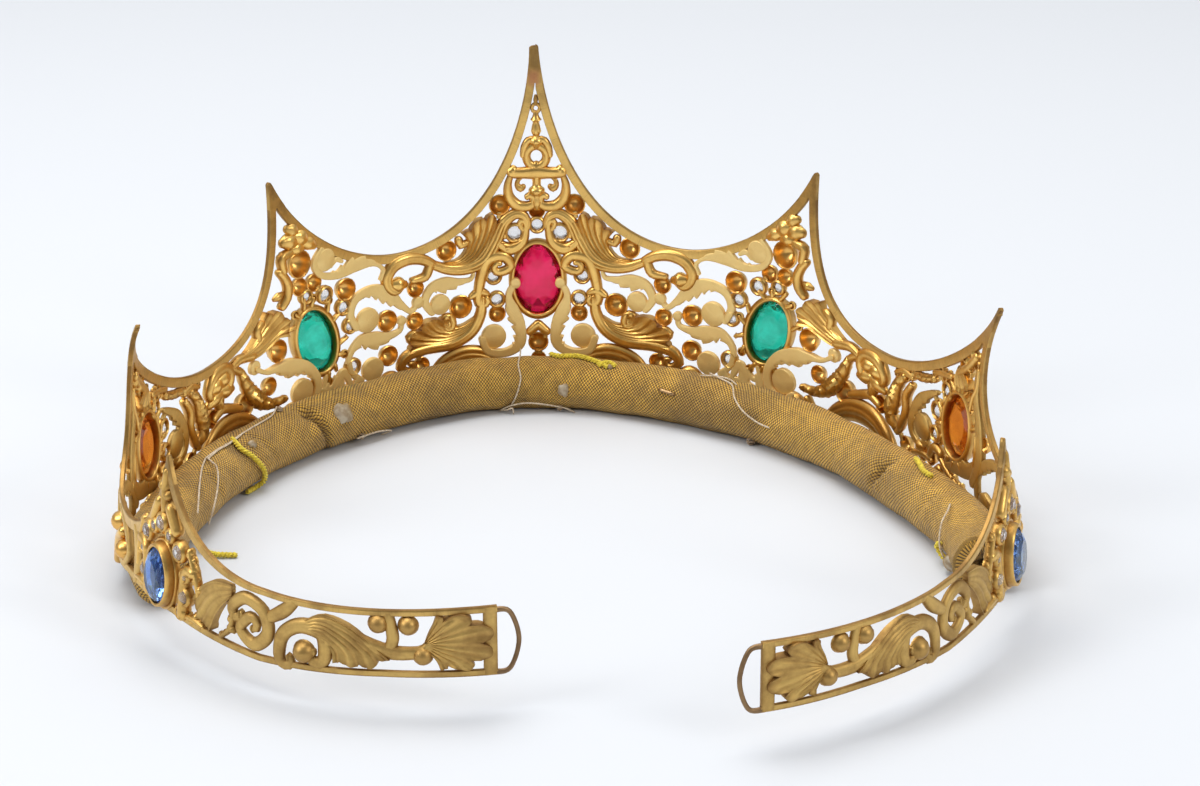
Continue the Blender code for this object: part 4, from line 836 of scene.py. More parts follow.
def gilding(name, bright, dark, tarnish, roughness, grain_scale=2500.0, grain=0.3,
            brushed=False, stained=False, metallic=1.0):
    """One finish of the band: its colours where clean, in recesses (painted shade with tarnish) and where
    tarnished.
    """
    made, tree, shader = material(name)
    worn = node(tree, "ShaderNodeGroup", node_tree=WORN)
    for key, value in (("Bright", (*bright, 1)), ("Dark", (*dark, 1)), ("Tarnish", (*tarnish, 1)),
                       ("Roughness", roughness), ("Grain scale", grain_scale), ("Grain", grain)):
        worn.inputs[key].default_value = value
    # The recess attribute carries painted shade, with tarnish in the hollows.
    tree.links.new(attribute(tree, "recess"), worn.inputs["Recess"])
    tree.links.new(attribute(tree, "patina"), worn.inputs["Patina"])
    colour, rough, normal = (worn.outputs[key] for key in ("Color", "Roughness", "Normal"))
    if brushed:
        along = node(tree, "ShaderNodeSeparateXYZ", {0: attribute(tree, "brush", "Vector")}).outputs
        lines = node(tree, "ShaderNodeCombineXYZ", {0: times(tree, along[0], 4.2),
                                                    1: times(tree, along[1], 0.25)}).outputs[0]
        strokes = noise_at(tree, lines, 1.0, 3.0, 0.6)
        colour = mix(tree, ramp(tree, strokes, 0.5, 0.8, 0.0, 0.3), colour, tarnish)
        rough = plus(tree, rough, times(tree, strokes, 0.12))
        normal = bump(tree, strokes, 0.5, normal=normal)
    if stained:
        place = node(tree, "ShaderNodeSeparateXYZ", {0: object_place(tree)}).outputs
        aside = maths(tree, "ABSOLUTE", plus(tree, place[0], -STAIN["x"]))
        height = maths(tree, "ABSOLUTE", plus(tree, place[2], -STAIN["z"]))
        spot = times(tree, ramp(tree, aside, STAIN["wide"], 0.0004),
                     ramp(tree, height, STAIN["high"], 0.0006))
        spot = times(tree, spot, ramp(tree, place[1], 0.06, 0.07))
        colour = mix(tree, times(tree, spot, 0.5), colour, STAIN["colour"])
    set_shader(shader, Base_Color=colour, Roughness=rough, Normal=normal, Metallic=metallic)
    return made


RIM_GOLD = gilding("rim_gold", (0.84, 0.55, 0.17), (0.30, 0.16, 0.045), (0.20, 0.115, 0.045), 0.25,
                   brushed=True, stained=True)
SCROLL_GOLD = gilding("stamped_gold", (0.95, 0.61, 0.18), (0.34, 0.13, 0.02), (0.33, 0.20, 0.06), 0.29,
                      grain=0.15)
MATTE_GOLD = gilding("matte_gold", (1.0, 0.74, 0.29), (0.80, 0.52, 0.18), (0.52, 0.33, 0.11), 0.42,
                     3800.0, 0.9, metallic=0.4)
# The tails' finish also serves as painted shade on the side panels' matte plates and discs.
TAIL_GOLD = gilding("tail_gold", (0.82, 0.56, 0.18), (0.24, 0.12, 0.04), (0.30, 0.17, 0.06), 0.44)
WIRE_BRASS = gilding("wire_brass", (0.42, 0.27, 0.13), (0.16, 0.09, 0.05), (0.13, 0.08, 0.05), 0.34)


def flank_rows():
    """Upper edge of one half: fine points for each flank."""
    return [curve_points(*row[1:], max(24, round(math.dist(row[1], row[4]) / 0.9))) for row in FLANKS]


# The left side of the centre peak's tip is fuller: start and first handle of its curve.
LEFT_TIP = ((1.5, 80.8), (1.5, 69.5))


def side_lines(flip):
    """The flanks of one half with their rounded tips, still on the positive side."""
    rows = flank_rows()
    if flip < 0:
        row = FLANKS[0]
        rows[0] = curve_points(*LEFT_TIP, row[3], row[4], len(rows[0]) - 1)
    s, z = rows[0][0]
    rows[0] = [(0.05, z + 0.55), (0.55 * s, z + 0.45), (0.88 * s, z + 0.22)] + rows[0]
    for up, down in ((1, 2), (3, 4), (5, 6)):
        (s0, z0), (s1, z1) = rows[up][-1], rows[down][0]
        middle = ((s0 + s1) / 2, max(z0, z1) + 0.3)
        rows[up] = rows[up] + [((s0 + middle[0]) / 2, middle[1] - 0.08), middle]
        rows[down] = [middle, ((s1 + middle[0]) / 2, middle[1] - 0.1)] + rows[down]
    return rows


def s_at_height(line, z):
    """Station of a flank at one height, or None outside its heights."""
    for (s0, z0), (s1, z1) in zip(line, line[1:]):
        if min(z0, z1) <= z <= max(z0, z1) and z0 != z1:
            return s0 + (s1 - s0) * (z - z0) / (z1 - z0)
    return None


def edge_strip(shell, line, widths, other, thick=0.45, lift=0.0, direction=1):
    """Flat strip along the right of a line, cut off half way to the other flank of its peak."""
    inner = []
    last = len(line) - 1
    for i, (s, z) in enumerate(line):
        a, b = line[max(0, i - 1)], line[min(last, i + 1)]
        ds, dz = b[0] - a[0], b[1] - a[1]
        length = math.hypot(ds, dz)
        width = widths(s) * direction
        ps, pz = s + dz / length * width, z - ds / length * width
        if other is not None:
            tip = line[0] if line[0][1] > line[-1][1] else line[-1]
            pz = min(pz, tip[1] - 0.4 * (tip[1] - z))
            here, there = s_at_height(line, pz), s_at_height(other, pz)
            if here is not None and there is not None:
                middle = (here + there) / 2
                if (ps - middle) * (here - middle) < 0:
                    ps = middle
        inner.append((ps, pz))
    rings, brush = [], []
    along = 0.0
    for i, ((s, z), (ps, pz)) in enumerate(zip(line, inner)):
        if i:
            along += math.dist(line[i - 1], (s, z))
        span = math.hypot(ps - s, pz - z) or 0.01
        soft = min(0.16 / span, 0.3)
        ring = []
        # recess darkens the strip's edges and side walls: painted shade, with darker cut edges.
        for u, out, recess in (
            (0.0, -thick + 0.14, 1.0), (soft, -thick, 0.5), (2.2 * soft, -thick - 0.02, 0.0),
            (1 - 1.6 * soft, -thick - 0.01, 0.0), (1 - 0.6 * soft, -thick, 0.3), (1.0, -thick + 0.12, 0.8),
            (1.0, thick - 0.12, 0.8), (1 - 0.6 * soft, thick, 0.3), (1 - 1.6 * soft, thick + 0.01, 0.0),
            (2.2 * soft, thick + 0.02, 0.0), (soft, thick, 0.5), (0.0, thick - 0.14, 1.0),
        ):
            ring.append((s + (ps - s) * u, z + (pz - z) * u, out + lift, recess))
            brush.append((along, u * 2.0, 0.0))
        rings.append(ring)
    shell.rings(rings, brush=brush)


def horn(shell, one, two, flip):
    """The solid point of a peak, from its tip down to where its two strips part."""
    top = max(one[0][1], one[-1][1])
    rings = []
    for k in range(200):
        z = top - 0.04 - 0.25 * k
        a, b = s_at_height(one, z), s_at_height(two, z)
        c, d = s_at_height(one, z - 0.25), s_at_height(two, z - 0.25)
        if None in (a, b, c, d):
            continue
        parted = RIM_WIDTH * (math.hypot(1, (c - a) / 0.25) + math.hypot(1, (d - b) / 0.25))
        if abs(a - b) > parted:
            break
        thick = 0.5 if len(rings) > 2 else 0.3 + 0.07 * len(rings)
        middle, half = flip * (a + b) / 2, max(0.12, abs(a - b) / 2 + 0.02)
        row = plate(thick, thick, 0.02)(half, 0.0, 1.0)
        rings.append([(middle + u * half, z, out, 0.35 * recess + 0.15) for u, out, recess in row])
    shell.rings(rings)


def rim_width(s):
    return RIM_WIDTH - 0.95 * smooth(176, 208, abs(s))


def rail_width(s):
    return RAIL_WIDTH - 0.35 * smooth(176, 208, abs(s))


def build_rim():
    """The strip with the seven peaks, drawn flank by flank, and the tails' upper rails."""
    shell = Shell()
    partner = {0: None, 1: 2, 2: 1, 3: 4, 4: 3, 5: 6, 6: 5, 7: None}
    for flip in (1, -1):
        lines = side_lines(flip)
        for index, line in enumerate(lines):
            mate = partner[index]
            other = [(-s, z) for s, z in line] if index == 0 else (lines[mate] if mate is not None else None)
            here = line
            if flip < 0:
                here = mirrored(line)
                other = mirrored(other) if other else None
            lift = 0.012 * (index % 3) + (0.006 if flip < 0 else 0.0)
            edge_strip(shell, here, rim_width, other, 0.45, lift, flip)
        for up, down in ((1, 2), (3, 4), (5, 6)):
            horn(shell, lines[up], lines[down], flip)
    horn(shell, side_lines(1)[0], mirrored(side_lines(-1)[0]), 1)
    return shell.piece("rim_strip", RIM_GOLD, "gilt_brass", 40)


def build_rail():
    """The narrow strip along the lower edge, from tail to tail, and the tails' end plates."""
    shell = Shell()
    for flip in (1, -1):
        stations = [1.5 * i for i in range(int(TAIL_END / 1.5) + 1)] + [TAIL_END]
        low = [(flip * s, blend(LOWER_EDGE, s)) for s in stations]
        edge_strip(shell, low, rail_width, None, 0.4, 0.0, -flip)
        middle = flip * (TAIL_END - END_PLATE_WIDTH / 2)
        ends = [(middle, TAIL_BOTTOM + 0.2), (middle, (TAIL_BOTTOM + TAIL_TOP) / 2), (middle, TAIL_TOP - 0.2)]
        sweep(shell, [(*p, END_PLATE_WIDTH) for p in ends], plate(0.47, 0.5, 0.05), ends=False)
    for flip in (1, -1):
        for s0, z0, s1, z1 in LINKS:
            sweep(shell, [(flip * s0, z0, 1.1), (flip * s1, z1, 1.1)], plate(0.35, 0.35), ends=False)
    return shell.piece("lower_rail", TAIL_GOLD, "gilt_brass", 40)


# Ornament whose root lies further along the wall than this belongs to the tail.
TAIL_FROM = 193


def styled_strokes():
    """Style, points and whether it is on a tail, for every stroke of both halves."""
    for style, points in STROKES:
        for flip in (1, -1):
            yield style, points if flip > 0 else mirrored(points), points[0][0] > TAIL_FROM
    for style, points in CENTRE_STROKES:
        yield style, points, False


def total_length(points):
    return sum(math.dist(a[:2], b[:2]) for a, b in zip(points, points[1:]))


def lobed(samples, pitch, depth):
    """The same samples with a scalloped width."""
    along = 0.0
    out = []
    for i, (s, z, width) in enumerate(samples):
        if i:
            along += math.dist(samples[i - 1][:2], (s, z))
        out.append((s, z, width * (1 + depth * (abs(math.sin(math.pi * along / pitch)) - 0.6))))
    return out


def curls_in(points, at_start):
    """True if the stroke turns by more than 70 degrees over its last three points."""
    row = points[:4][::-1] if at_start else points[-4:]
    if len(row) < 4:
        return False
    first = math.atan2(row[1][1] - row[0][1], row[1][0] - row[0][0])
    final = math.atan2(row[3][1] - row[2][1], row[3][0] - row[2][0])
    turn = abs((final - first + math.pi) % (2 * math.pi) - math.pi)
    return turn > math.radians(70)


def with_volutes(points):
    """The stroke with a small spiral added to each end that curls."""
    for at_start in (True, False):
        if not curls_in(points, at_start):
            continue
        row = list(points)[::-1] if at_start else list(points)
        (s0, z0, _), (s1, z1, _), (s2, z2, width) = row[-3:]
        turn = 1 if (s1 - s0) * (z2 - z1) - (z1 - z0) * (s2 - s1) > 0 else -1
        heading = math.atan2(z2 - z1, s2 - s1)
        radius = 0.72 * width
        cs, cz = s2 - turn * radius * math.sin(heading), z2 + turn * radius * math.cos(heading)
        for k in range(1, 5):
            a = heading - turn * math.pi / 2 + turn * k * math.radians(58)
            shrink = 1 - 0.15 * k
            place = (cs + radius * shrink * math.cos(a), cz + radius * shrink * math.sin(a))
            row.append((*place, width * (1 - 0.09 * k)))
        points = row[::-1] if at_start else row
    return points


def over_stone(points):
    """True if a scroll crosses in front of a stone's collar."""
    return any(abs(abs(ps) - s) < half_s + 1.6 and abs(pz - z) < 0.8 * half_z
               for ps, pz, _ in points for _, _, s, z, half_s, half_z, _ in STONES)


# Matte plates and discs further along the wall than this have the browner finish of the tails, as painted
# shade: the side panels lie in less light.
SHADED_SIDE_FROM = 95


def build_scrolls():
    """Every scroll, leaf and disc of the ornament, in three pieces by finish."""
    stamped, matte, tail = Shell(), Shell(), Shell()
    for number, (style, points, on_tail) in enumerate(styled_strokes()):
        shell = tail if on_tail else stamped
        if style == "turned":
            sweep(shell, smooth_stroke(points, 0.4), turned)
            continue
        if style in ("curl", "flute"):
            wider = 1.3 if on_tail else 1.25
            longer = with_volutes([(s, z, wider * width) for s, z, width in points])
            for s, z, width in ([longer[0], longer[-1]] if len(longer) > len(points) else []):
                bead(shell, s, z, 0.62 * width)
            points = longer
        samples = smooth_stroke(points, 0.3 if style == "matte" else 0.75)
        widest = max(p[2] for p in points)
        shift = 0.02 * (number % 5)
        if style == "matte":
            middle = len(points) // 2
            (s0, z0, _), (s1, z1, _), (s2, z2, _) = points[middle - 1:middle + 2]
            bend = (s1 - s0) * (z2 - z1) - (z1 - z0) * (s2 - s1)
            slim = 0.86 if abs(points[0][0]) > 120 else 0.8
            thick = 1.0 if over_stone(points) else 0.52
            teeth = 1.0 if total_length(points) > 12 else 0.0
            # Plates of the side panels take the tails' darker finish as painted shade.
            sweep(tail if abs(points[0][0]) > SHADED_SIDE_FROM else matte,
                  [(s, z, slim * width) for s, z, width in samples],
                  plate(thick + shift, 0.45 + shift, 0.18, teeth, 1 if bend > 0 else -1))
            continue
        if style == "lumps":
            sweep(shell, [(s, z, 0.6 * width) for s, z, width in samples], channel(1, back=shift))
            for k in range(0, len(samples) - 1, 2):
                s, z, width = samples[k]
                ahead = samples[k + 1]
                ds, dz = ahead[0] - s, ahead[1] - z
                length = math.hypot(ds, dz)
                for side in (-1, 1):
                    away = side * (0.22 + 0.1 * math.sin(2.3 * k)) * width
                    size = width * (0.27 + 0.07 * math.sin(1.7 * k + side)) + 0.1
                    ps = s - dz / length * away + 0.2 * side * ds
                    pz = z + ds / length * away + 0.2 * side * dz
                    if (k // 2 + (side > 0)) % 3:
                        bead(shell, ps, pz, size)
                    else:
                        bowl(shell, ps, pz, size, 1.1 * size, 10, 3)
            continue
        if style == "flute":
            count = 3 if widest > 3.4 else 2
            sweep(shell, samples, channel(count, back=shift, rise=0.5 if on_tail else 1.0))
        elif style == "rib":
            sweep(shell, lobed(samples, 1.3, 0.2), channel(1, 0.7, back=shift, rise=0.75))
        elif style == "shell":
            sweep(shell, lobed(samples, 1.5, 0.22), channel(3, 0.18, back=shift))
        else:
            sweep(shell, samples, channel(2 if on_tail else 1, back=shift, rise=0.5 if on_tail else 1.0))
    for number, spines in enumerate(LEAVES):
        on_tail = spines[0][0][0] > TAIL_FROM
        for flip in (1, -1):
            fan(tail if on_tail else stamped, [[(flip * s, z) for s, z in spine] for spine in spines],
                0.02 * (number % 3), 0.26 if len(spines) > 5 else 0.08)
    for flip in (1, -1):
        for number, (s, z, radius) in enumerate(DISCS):
            front = -0.64 - 0.005 * number - (0.48 if over_stone([(s, z, 0.0)]) else 0.0)
            ladder = [(0.05 - radius, front), (-0.22, front), (0.0, front + 0.18), (0.0, 0.4),
                      (-0.25, 0.6), (-0.5, 0.55), (0.05 - radius, 0.85)]
            # Discs of the side panels take the tails' darker finish as painted shade.
            collar(tail if s > SHADED_SIDE_FROM else matte, flip * s, z, radius, radius, 0.0,
                   [(away, out, 0.6 if 1 < i < 6 else 0.05) for i, (away, out) in enumerate(ladder)], 26)
    for s, z, radius, width in (CENTRE_RING, EYELET):
        ladder = [(width / 2 * across, 0.1 + 0.4 * width * out, 0.8 * abs(across) ** 3)
                  for across, out in circle(12)]
        collar(stamped, s, z, radius, radius, 0.0, ladder, 28)
    return [
        stamped.piece("stamped_scrolls", SCROLL_GOLD, "gilt_brass", 60),
        matte.piece("matte_scrolls", MATTE_GOLD, "gilt_brass", 40),
        tail.piece("side_scrolls", TAIL_GOLD, "gilt_brass", 60),
    ]


def build_loops():
    """The wire loop at the end of each tail."""
    shell = Shell()
    wire = [(across, 0.45 * out, 0.3) for across, out in circle(10)]
    for flip in (1, -1):
        points = [(flip * (TAIL_END + beyond), z, width) for beyond, z, width in END_LOOP]
        sweep(shell, smooth_stroke(points, 0.5), lambda half, along, total: wire)
    return shell.piece("wire_end_loops", WIRE_BRASS, "gilt_brass", 60)


def frill(shell, s, z, half_s, half_z, lean, flip):
    """Short struts of uneven length that stand round a stone's collar, some with a bead."""
    count = 18
    inner = oval_points(s, z, half_s, half_z, lean, count, 0.5)
    for k, near in enumerate(inner):
        reach = 1.5 + 0.5 * math.sin(2.1 * k)
        far = oval_points(s, z, half_s + reach, half_z + reach, lean, count, 0.5 + 0.3 * math.sin(1.3 * k))[k]
        if flip * (near[0] - s) > 0.35 * half_s and near[1] < z or k % 5 == 2:
            continue
        sweep(shell, [(*near, 1.2), (*far, 0.9)], channel(1))
        if k % 2:
            bowl(shell, *far, 0.85, 0.9, 10, 3)
        else:
            sweep(shell, [(far[0] - 0.2, far[1], 0.7), (*far, 1.5), (far[0] + 0.2, far[1], 0.7)], turned)


def build_bezels():
    """The stones' collars with their deep cups, and the small cups of the rhinestones."""
    shell = Shell()
    # Rows of distance outside the window, out, recess; recess is painted shade in the deep cup and round the
    # window.
    wall = [
        (-0.14, 0.75, 1.0), (-0.02, 0.3, 0.9), (0.0, -0.35, 0.7), (0.12, -0.62, 0.2), (0.4, -0.72, 0.0),
        (0.7, -0.62, 0.1), (0.9, -0.42, 0.8), (1.3, -0.36, 0.6), (1.32, 0.55, 0.4), (1.1, 0.85, 0.1),
        (0.75, 0.8, 0.9), (0.55, 1.7, 0.6), (0.42, 2.3, 0.1), (0.15, 2.45, 0.0), (-0.16, 2.3, 0.4),
        (-0.05, 2.0, 0.9), (0.1, 1.3, 1.0),
    ]
    for flip in (1, -1):
        for _, _, s, z, half_s, half_z, lean in STONES:
            if s or flip > 0:
                collar(shell, flip * s, z, half_s, half_z, flip * lean, wall, 56)
    # The small cups' recess is painted shade round the hole and on the cup's walls.
    cup = [
        (-0.1, 0.1, 0.9), (-0.04, -0.1, 0.8), (0.0, -0.45, 0.4), (0.25, -0.62, 0.0), (0.5, -0.5, 0.2),
        (0.66, -0.36, 0.7), (0.66, 0.5, 0.7), (0.5, 1.0, 0.2), (0.2, 1.25, 0.0), (-0.1, 1.15, 0.3),
        (-0.24, 0.6, 0.9),
    ]
    for flip in (1, -1):
        for s, z, radius in RHINESTONES + SMALL_STONES:
            if s or flip > 0:
                collar(shell, flip * s, z, radius, radius, 0.0, cup, 20)
        for name, _, s, z, half_s, half_z, lean in STONES:
            if s and name != "blue_stone":
                frill(shell, flip * s, z, half_s + 1.2, half_z + 1.2, flip * lean, flip)
    return shell.piece("bezels", SCROLL_GOLD, "gilt_brass", 55)


def glass(name, colour, deep, roughness=0.04, clear=0.9, specks=0.3):
    """Cut glass: light passes through it, with dark specks and a deeper colour in patches."""
    made, tree, shader = material(name)
    place = object_place(tree)
    patches = ramp(tree, noise_at(tree, place, 230.0, 3.0), 0.35, 0.7)
    spots = ramp(tree, noise_at(tree, place, 900.0, 3.0, 0.65), 0.56, 0.72, 0.0, specks)
    tone = mix(tree, patches, colour, deep)
    tone = mix(tree, spots, tone, tuple(c * 0.35 for c in deep))
    set_shader(shader, Base_Color=tone, Roughness=roughness, IOR=1.5, Transmission_Weight=clear)
    return made


GLASS = {
    "ruby": glass("ruby_glass", (0.90, 0.012, 0.12), (0.66, 0.006, 0.06)),
    "green": glass("green_glass", (0.02, 0.74, 0.52), (0.0, 0.40, 0.27)),
    "amber": glass("amber_glass", (0.85, 0.26, 0.02), (0.6, 0.13, 0.01)),
    "blue": glass("blue_glass", (0.30, 0.54, 0.98), (0.06, 0.20, 0.75)),
    "clear": glass("clear_glass", (1.0, 1.0, 1.0), (0.95, 0.95, 0.96), 0.12, 0.85, 0.1),
}


def build_gem(name, finish, s, z, half_s, half_z, lean, sides=12):
    """Cut oval stone: table, crown facets, girdle and stepped back."""
    cut = [
        (0.0, 3.42, 0.0, 1), (0.58, 3.4, 0.0, sides), (0.82, 2.75, 0.5, sides), (1.0, 1.55, 0.0, 2 * sides),
        (1.0, 1.05, 0.0, 2 * sides), (0.84, 0.3, 0.5, sides), (0.55, -0.28, 0.0, sides), (0.0, -0.32, 0.0, 1),
    ]
    shape = bmesh.new()
    rings = []
    for scale, out, turn, count in cut:
        if count == 1:
            rings.append([shape.verts.new(on_wall(s, z, out))])
        else:
            rings.append([shape.verts.new(on_wall(ps, pz, out)) for ps, pz in
                          oval_points(s, z, half_s * scale, half_z * scale, lean, count, turn)])
    for upper, lower in zip(rings, rings[1:]):
        few, many = (upper, lower) if len(upper) < len(lower) else (lower, upper)
        n, m = len(few), len(many)
        if n == 1:
            for i in range(m):
                shape.faces.new((few[0], many[i], many[(i + 1) % m]))
        elif n == m:
            for i in range(n):
                j = (i + 1) % n
                if n == 2 * sides:
                    shape.faces.new((upper[i], upper[j], lower[j], lower[i]))
                elif upper is rings[1]:
                    shape.faces.new((upper[i], upper[j], lower[i]))
                    shape.faces.new((upper[j], lower[j], lower[i]))
                else:
                    shape.faces.new((upper[i], lower[i], lower[j]))
                    shape.faces.new((upper[i], lower[j], upper[j]))
        else:
            for i in range(n):
                a, b, c = many[2 * i], many[(2 * i + 1) % m], many[(2 * i + 2) % m]
                shape.faces.new((few[i], a, b))
                shape.faces.new((few[i], b, c))
                shape.faces.new((few[i], c, few[(i + 1) % n]))
    mesh = bpy.data.meshes.new(name)
    shape.to_mesh(mesh)
    shape.free()
    return finish_mesh(name + "_cut", mesh, GLASS[finish], 3, name)


def copies(s):
    """Side and ending of the name of each copy of a stone: one of each half, or one in the middle."""
    return ((-1, "_left"), (1, "_right")) if s else ((1, ""),)


def build_gems():
    for name, finish, s, z, half_s, half_z, lean in STONES:
        for flip, ending in copies(s):
            build_gem(name + ending, finish, flip * s, z, half_s + 0.02, half_z + 0.02, flip * lean)


def repeat_tree(name, finish):
    """Geometry Nodes: one solid on every point, turned to the point's `facing`, sized by its `size`."""
    tree = bpy.data.node_groups.new(name, "GeometryNodeTree")
    for label, kind in (("Geometry", "Geometry"), ("Solid", "Object"), ("Size", "Float"), ("Seed", "Int")):
        tree.interface.new_socket(label, in_out="INPUT", socket_type="NodeSocket" + kind)
    tree.interface.new_socket("Geometry", in_out="OUTPUT", socket_type="NodeSocketGeometry")
    start, end = tree.nodes.new("NodeGroupInput"), tree.nodes.new("NodeGroupOutput")
    facing = node(tree, "GeometryNodeInputNamedAttribute", {"Name": "facing"},
                  data_type="FLOAT_VECTOR").outputs[0]
    size = node(tree, "GeometryNodeInputNamedAttribute", {"Name": "size"}, data_type="FLOAT").outputs[0]
    turned = node(tree, "FunctionNodeAlignRotationToVector", {"Vector": facing}, axis="Z").outputs[0]
    scale = times(tree, size, start.outputs["Size"])
    source = node(tree, "GeometryNodeObjectInfo", {"Object": start.outputs["Solid"]}).outputs["Geometry"]
    made = node(tree, "GeometryNodeInstanceOnPoints", {
        "Points": start.outputs["Geometry"], "Instance": source, "Rotation": turned, "Scale": scale,
    })
    spin = node(tree, "FunctionNodeRandomValue", {"Seed": start.outputs["Seed"]}, data_type="FLOAT")
    spin.inputs[3].default_value = 6.28
    about = node(tree, "FunctionNodeAxisAngleToRotation", {"Angle": spin.outputs[1]}).outputs[0]
    rotated = node(tree, "GeometryNodeRotateInstances", {"Instances": made.outputs[0], "Rotation": about})
    real = node(tree, "GeometryNodeRealizeInstances", {0: rotated.outputs[0]})
    painted = node(tree, "GeometryNodeSetMaterial", {"Geometry": real.outputs[0], "Material": finish})
    tree.links.new(painted.outputs[0], end.inputs[0])
    return tree


def repeat(name, solid, rows, finish, size=1.0, seed=3):
    """A mesh with the solid at each row of (point, facing, size)."""
    mesh = new_mesh(name + "_points", [tuple(row[0]) for row in rows])
    facing = mesh.attributes.new("facing", "FLOAT_VECTOR", "POINT")
    facing.data.foreach_set("vector", [v for row in rows for v in row[1]])
    sizes = mesh.attributes.new("size", "FLOAT", "POINT")
    sizes.data.foreach_set("value", [row[2] for row in rows])
    holder = bpy.data.objects.new(name + "_points", mesh)
    bpy.context.collection.objects.link(holder)
    tree = repeat_tree(name + "_rule", finish)
    modifier = holder.modifiers.new("repeat", "NODES")
    modifier.node_group = tree
    named = {item.name: item.identifier for item in tree.interface.items_tree if item.in_out == "INPUT"}
    modifier[named["Solid"]] = solid
    modifier[named["Size"]] = size
    modifier[named["Seed"]] = seed
    bpy.context.view_layer.update()
    graph = bpy.context.evaluated_depsgraph_get()
    result = bpy.data.meshes.new_from_object(holder.evaluated_get(graph), depsgraph=graph)
    bpy.data.objects.remove(holder)
    return result


def plain_object(name, points, faces):
    made = bpy.data.objects.new(name, new_mesh(name, points, faces))
    bpy.context.collection.objects.link(made)
    return made


def revolve(name, rows, sides, turns=False):
    """A closed solid of rings (radius, height) about +Z; its first and last rows are poles.

    With turns, every second ring is turned by half a step, which gives it triangular facets.
    """
    points, faces = [(0.0, 0.0, rows[0][1])], []
    for number, (radius, height) in enumerate(rows[1:-1]):
        shift = 0.5 * (number % 2) if turns else 0.0
        points += [(radius * cosine, radius * sine, height) for cosine, sine in circle(sides, shift)]
    points.append((0.0, 0.0, rows[-1][1]))
    last = len(points) - 1
    for i in range(sides):
        j = (i + 1) % sides
        faces.append((0, 1 + i, 1 + j))
        for level in range(len(rows) - 3):
            a, b = 1 + level * sides, 1 + (level + 1) * sides
            if turns and level % 2 == 0:
                faces += [(a + i, b + i, a + j), (a + j, b + i, b + j)]
            elif turns:
                faces += [(a + i, b + i, b + j), (a + i, b + j, a + j)]
            else:
                faces.append((a + i, b + i, b + j, a + j))
        a = 1 + (len(rows) - 3) * sides
        faces.append((a + i, last, a + j))
    return plain_object(name, points, faces)


def normal_at(s, z):
    """Direction straight out of the wall."""
    return (on_wall(s, z, 2.0) - on_wall(s, z, 0.0)).normalized()


def build_balls():
    """The hollow stamped balls of the ornament, all from one shape."""
    rows = []
    for flip in (1, -1):
        for s, z, radius in BALLS:
            rows.append((on_wall(flip * s, z, 0.0), normal_at(flip * s, z), radius * MM, s))
    for s, z, radius in CENTRE_BALLS:
        rows.append((on_wall(s, z, 0.0), normal_at(s, z), radius * MM, s))
    inside = [math.radians(a) for a in (75, 58, 40, 22, 5)]
    outside = [math.radians(a) for a in (8, 30, 52, 72)]
    hollow = [(0.0, 0.83), (0.16, 0.80)]
    hollow += [(0.93 * math.cos(a), -0.2 + math.sin(a)) for a in inside]
    hollow += [(1.0, -0.215), (1.1, -0.17), (1.1, -0.02)]
    hollow += [(1.02 * math.cos(a), 0.98 * math.sin(a)) for a in outside]
    hollow += [(0.0, 0.99)]
    solid = revolve("ball_shape", hollow, 18)
    parts = []
    for label, on_tail, finish in (("hollow_balls", False, BALL_GOLD), ("tail_balls", True, DULL_BALL_GOLD)):
        mesh = repeat(label, solid, [row[:3] for row in rows if (row[3] > TAIL_FROM) == on_tail], finish)
        parts.append(finish_mesh(label, mesh, finish, 60, "openwork_band"))
    bpy.data.objects.remove(solid)
    return parts


BALL_GOLD = gilding("ball_gold", (0.86, 0.50, 0.14), (0.46, 0.19, 0.04), (0.33, 0.20, 0.07), 0.30)
DULL_BALL_GOLD = gilding("dull_ball_gold", (0.50, 0.31, 0.10), (0.20, 0.10, 0.035), (0.26, 0.15, 0.05), 0.46)


def build_rhinestones():
    """The small clear stones, all from one cut."""
    solid = revolve("rhinestone_shape", [(0, 1.02), (0.55, 1.0), (0.84, 0.74), (1.0, 0.28), (0.98, 0.12),
                                         (0.52, -0.3), (0, -0.42)], 8, turns=True)
    rows, names = [], []
    for number, (s, z, radius) in enumerate(RHINESTONES):
        for flip, ending in copies(s):
            rows.append((on_wall(flip * s, z, 0.12), normal_at(flip * s, z), (radius + 0.02) * MM))
            names.append(f"rhinestone_{number + 1:02d}{ending}")
    for s, z, radius in SMALL_STONES:
        for flip in (1, -1):
            rows.append((on_wall(flip * s, z, 0.3), normal_at(flip * s, z), radius * MM))
    mesh = repeat("rhinestones", solid, rows, GLASS["clear"])
    bpy.data.objects.remove(solid)
    return finish_mesh("rhinestones", mesh, GLASS["clear"], 3, names)


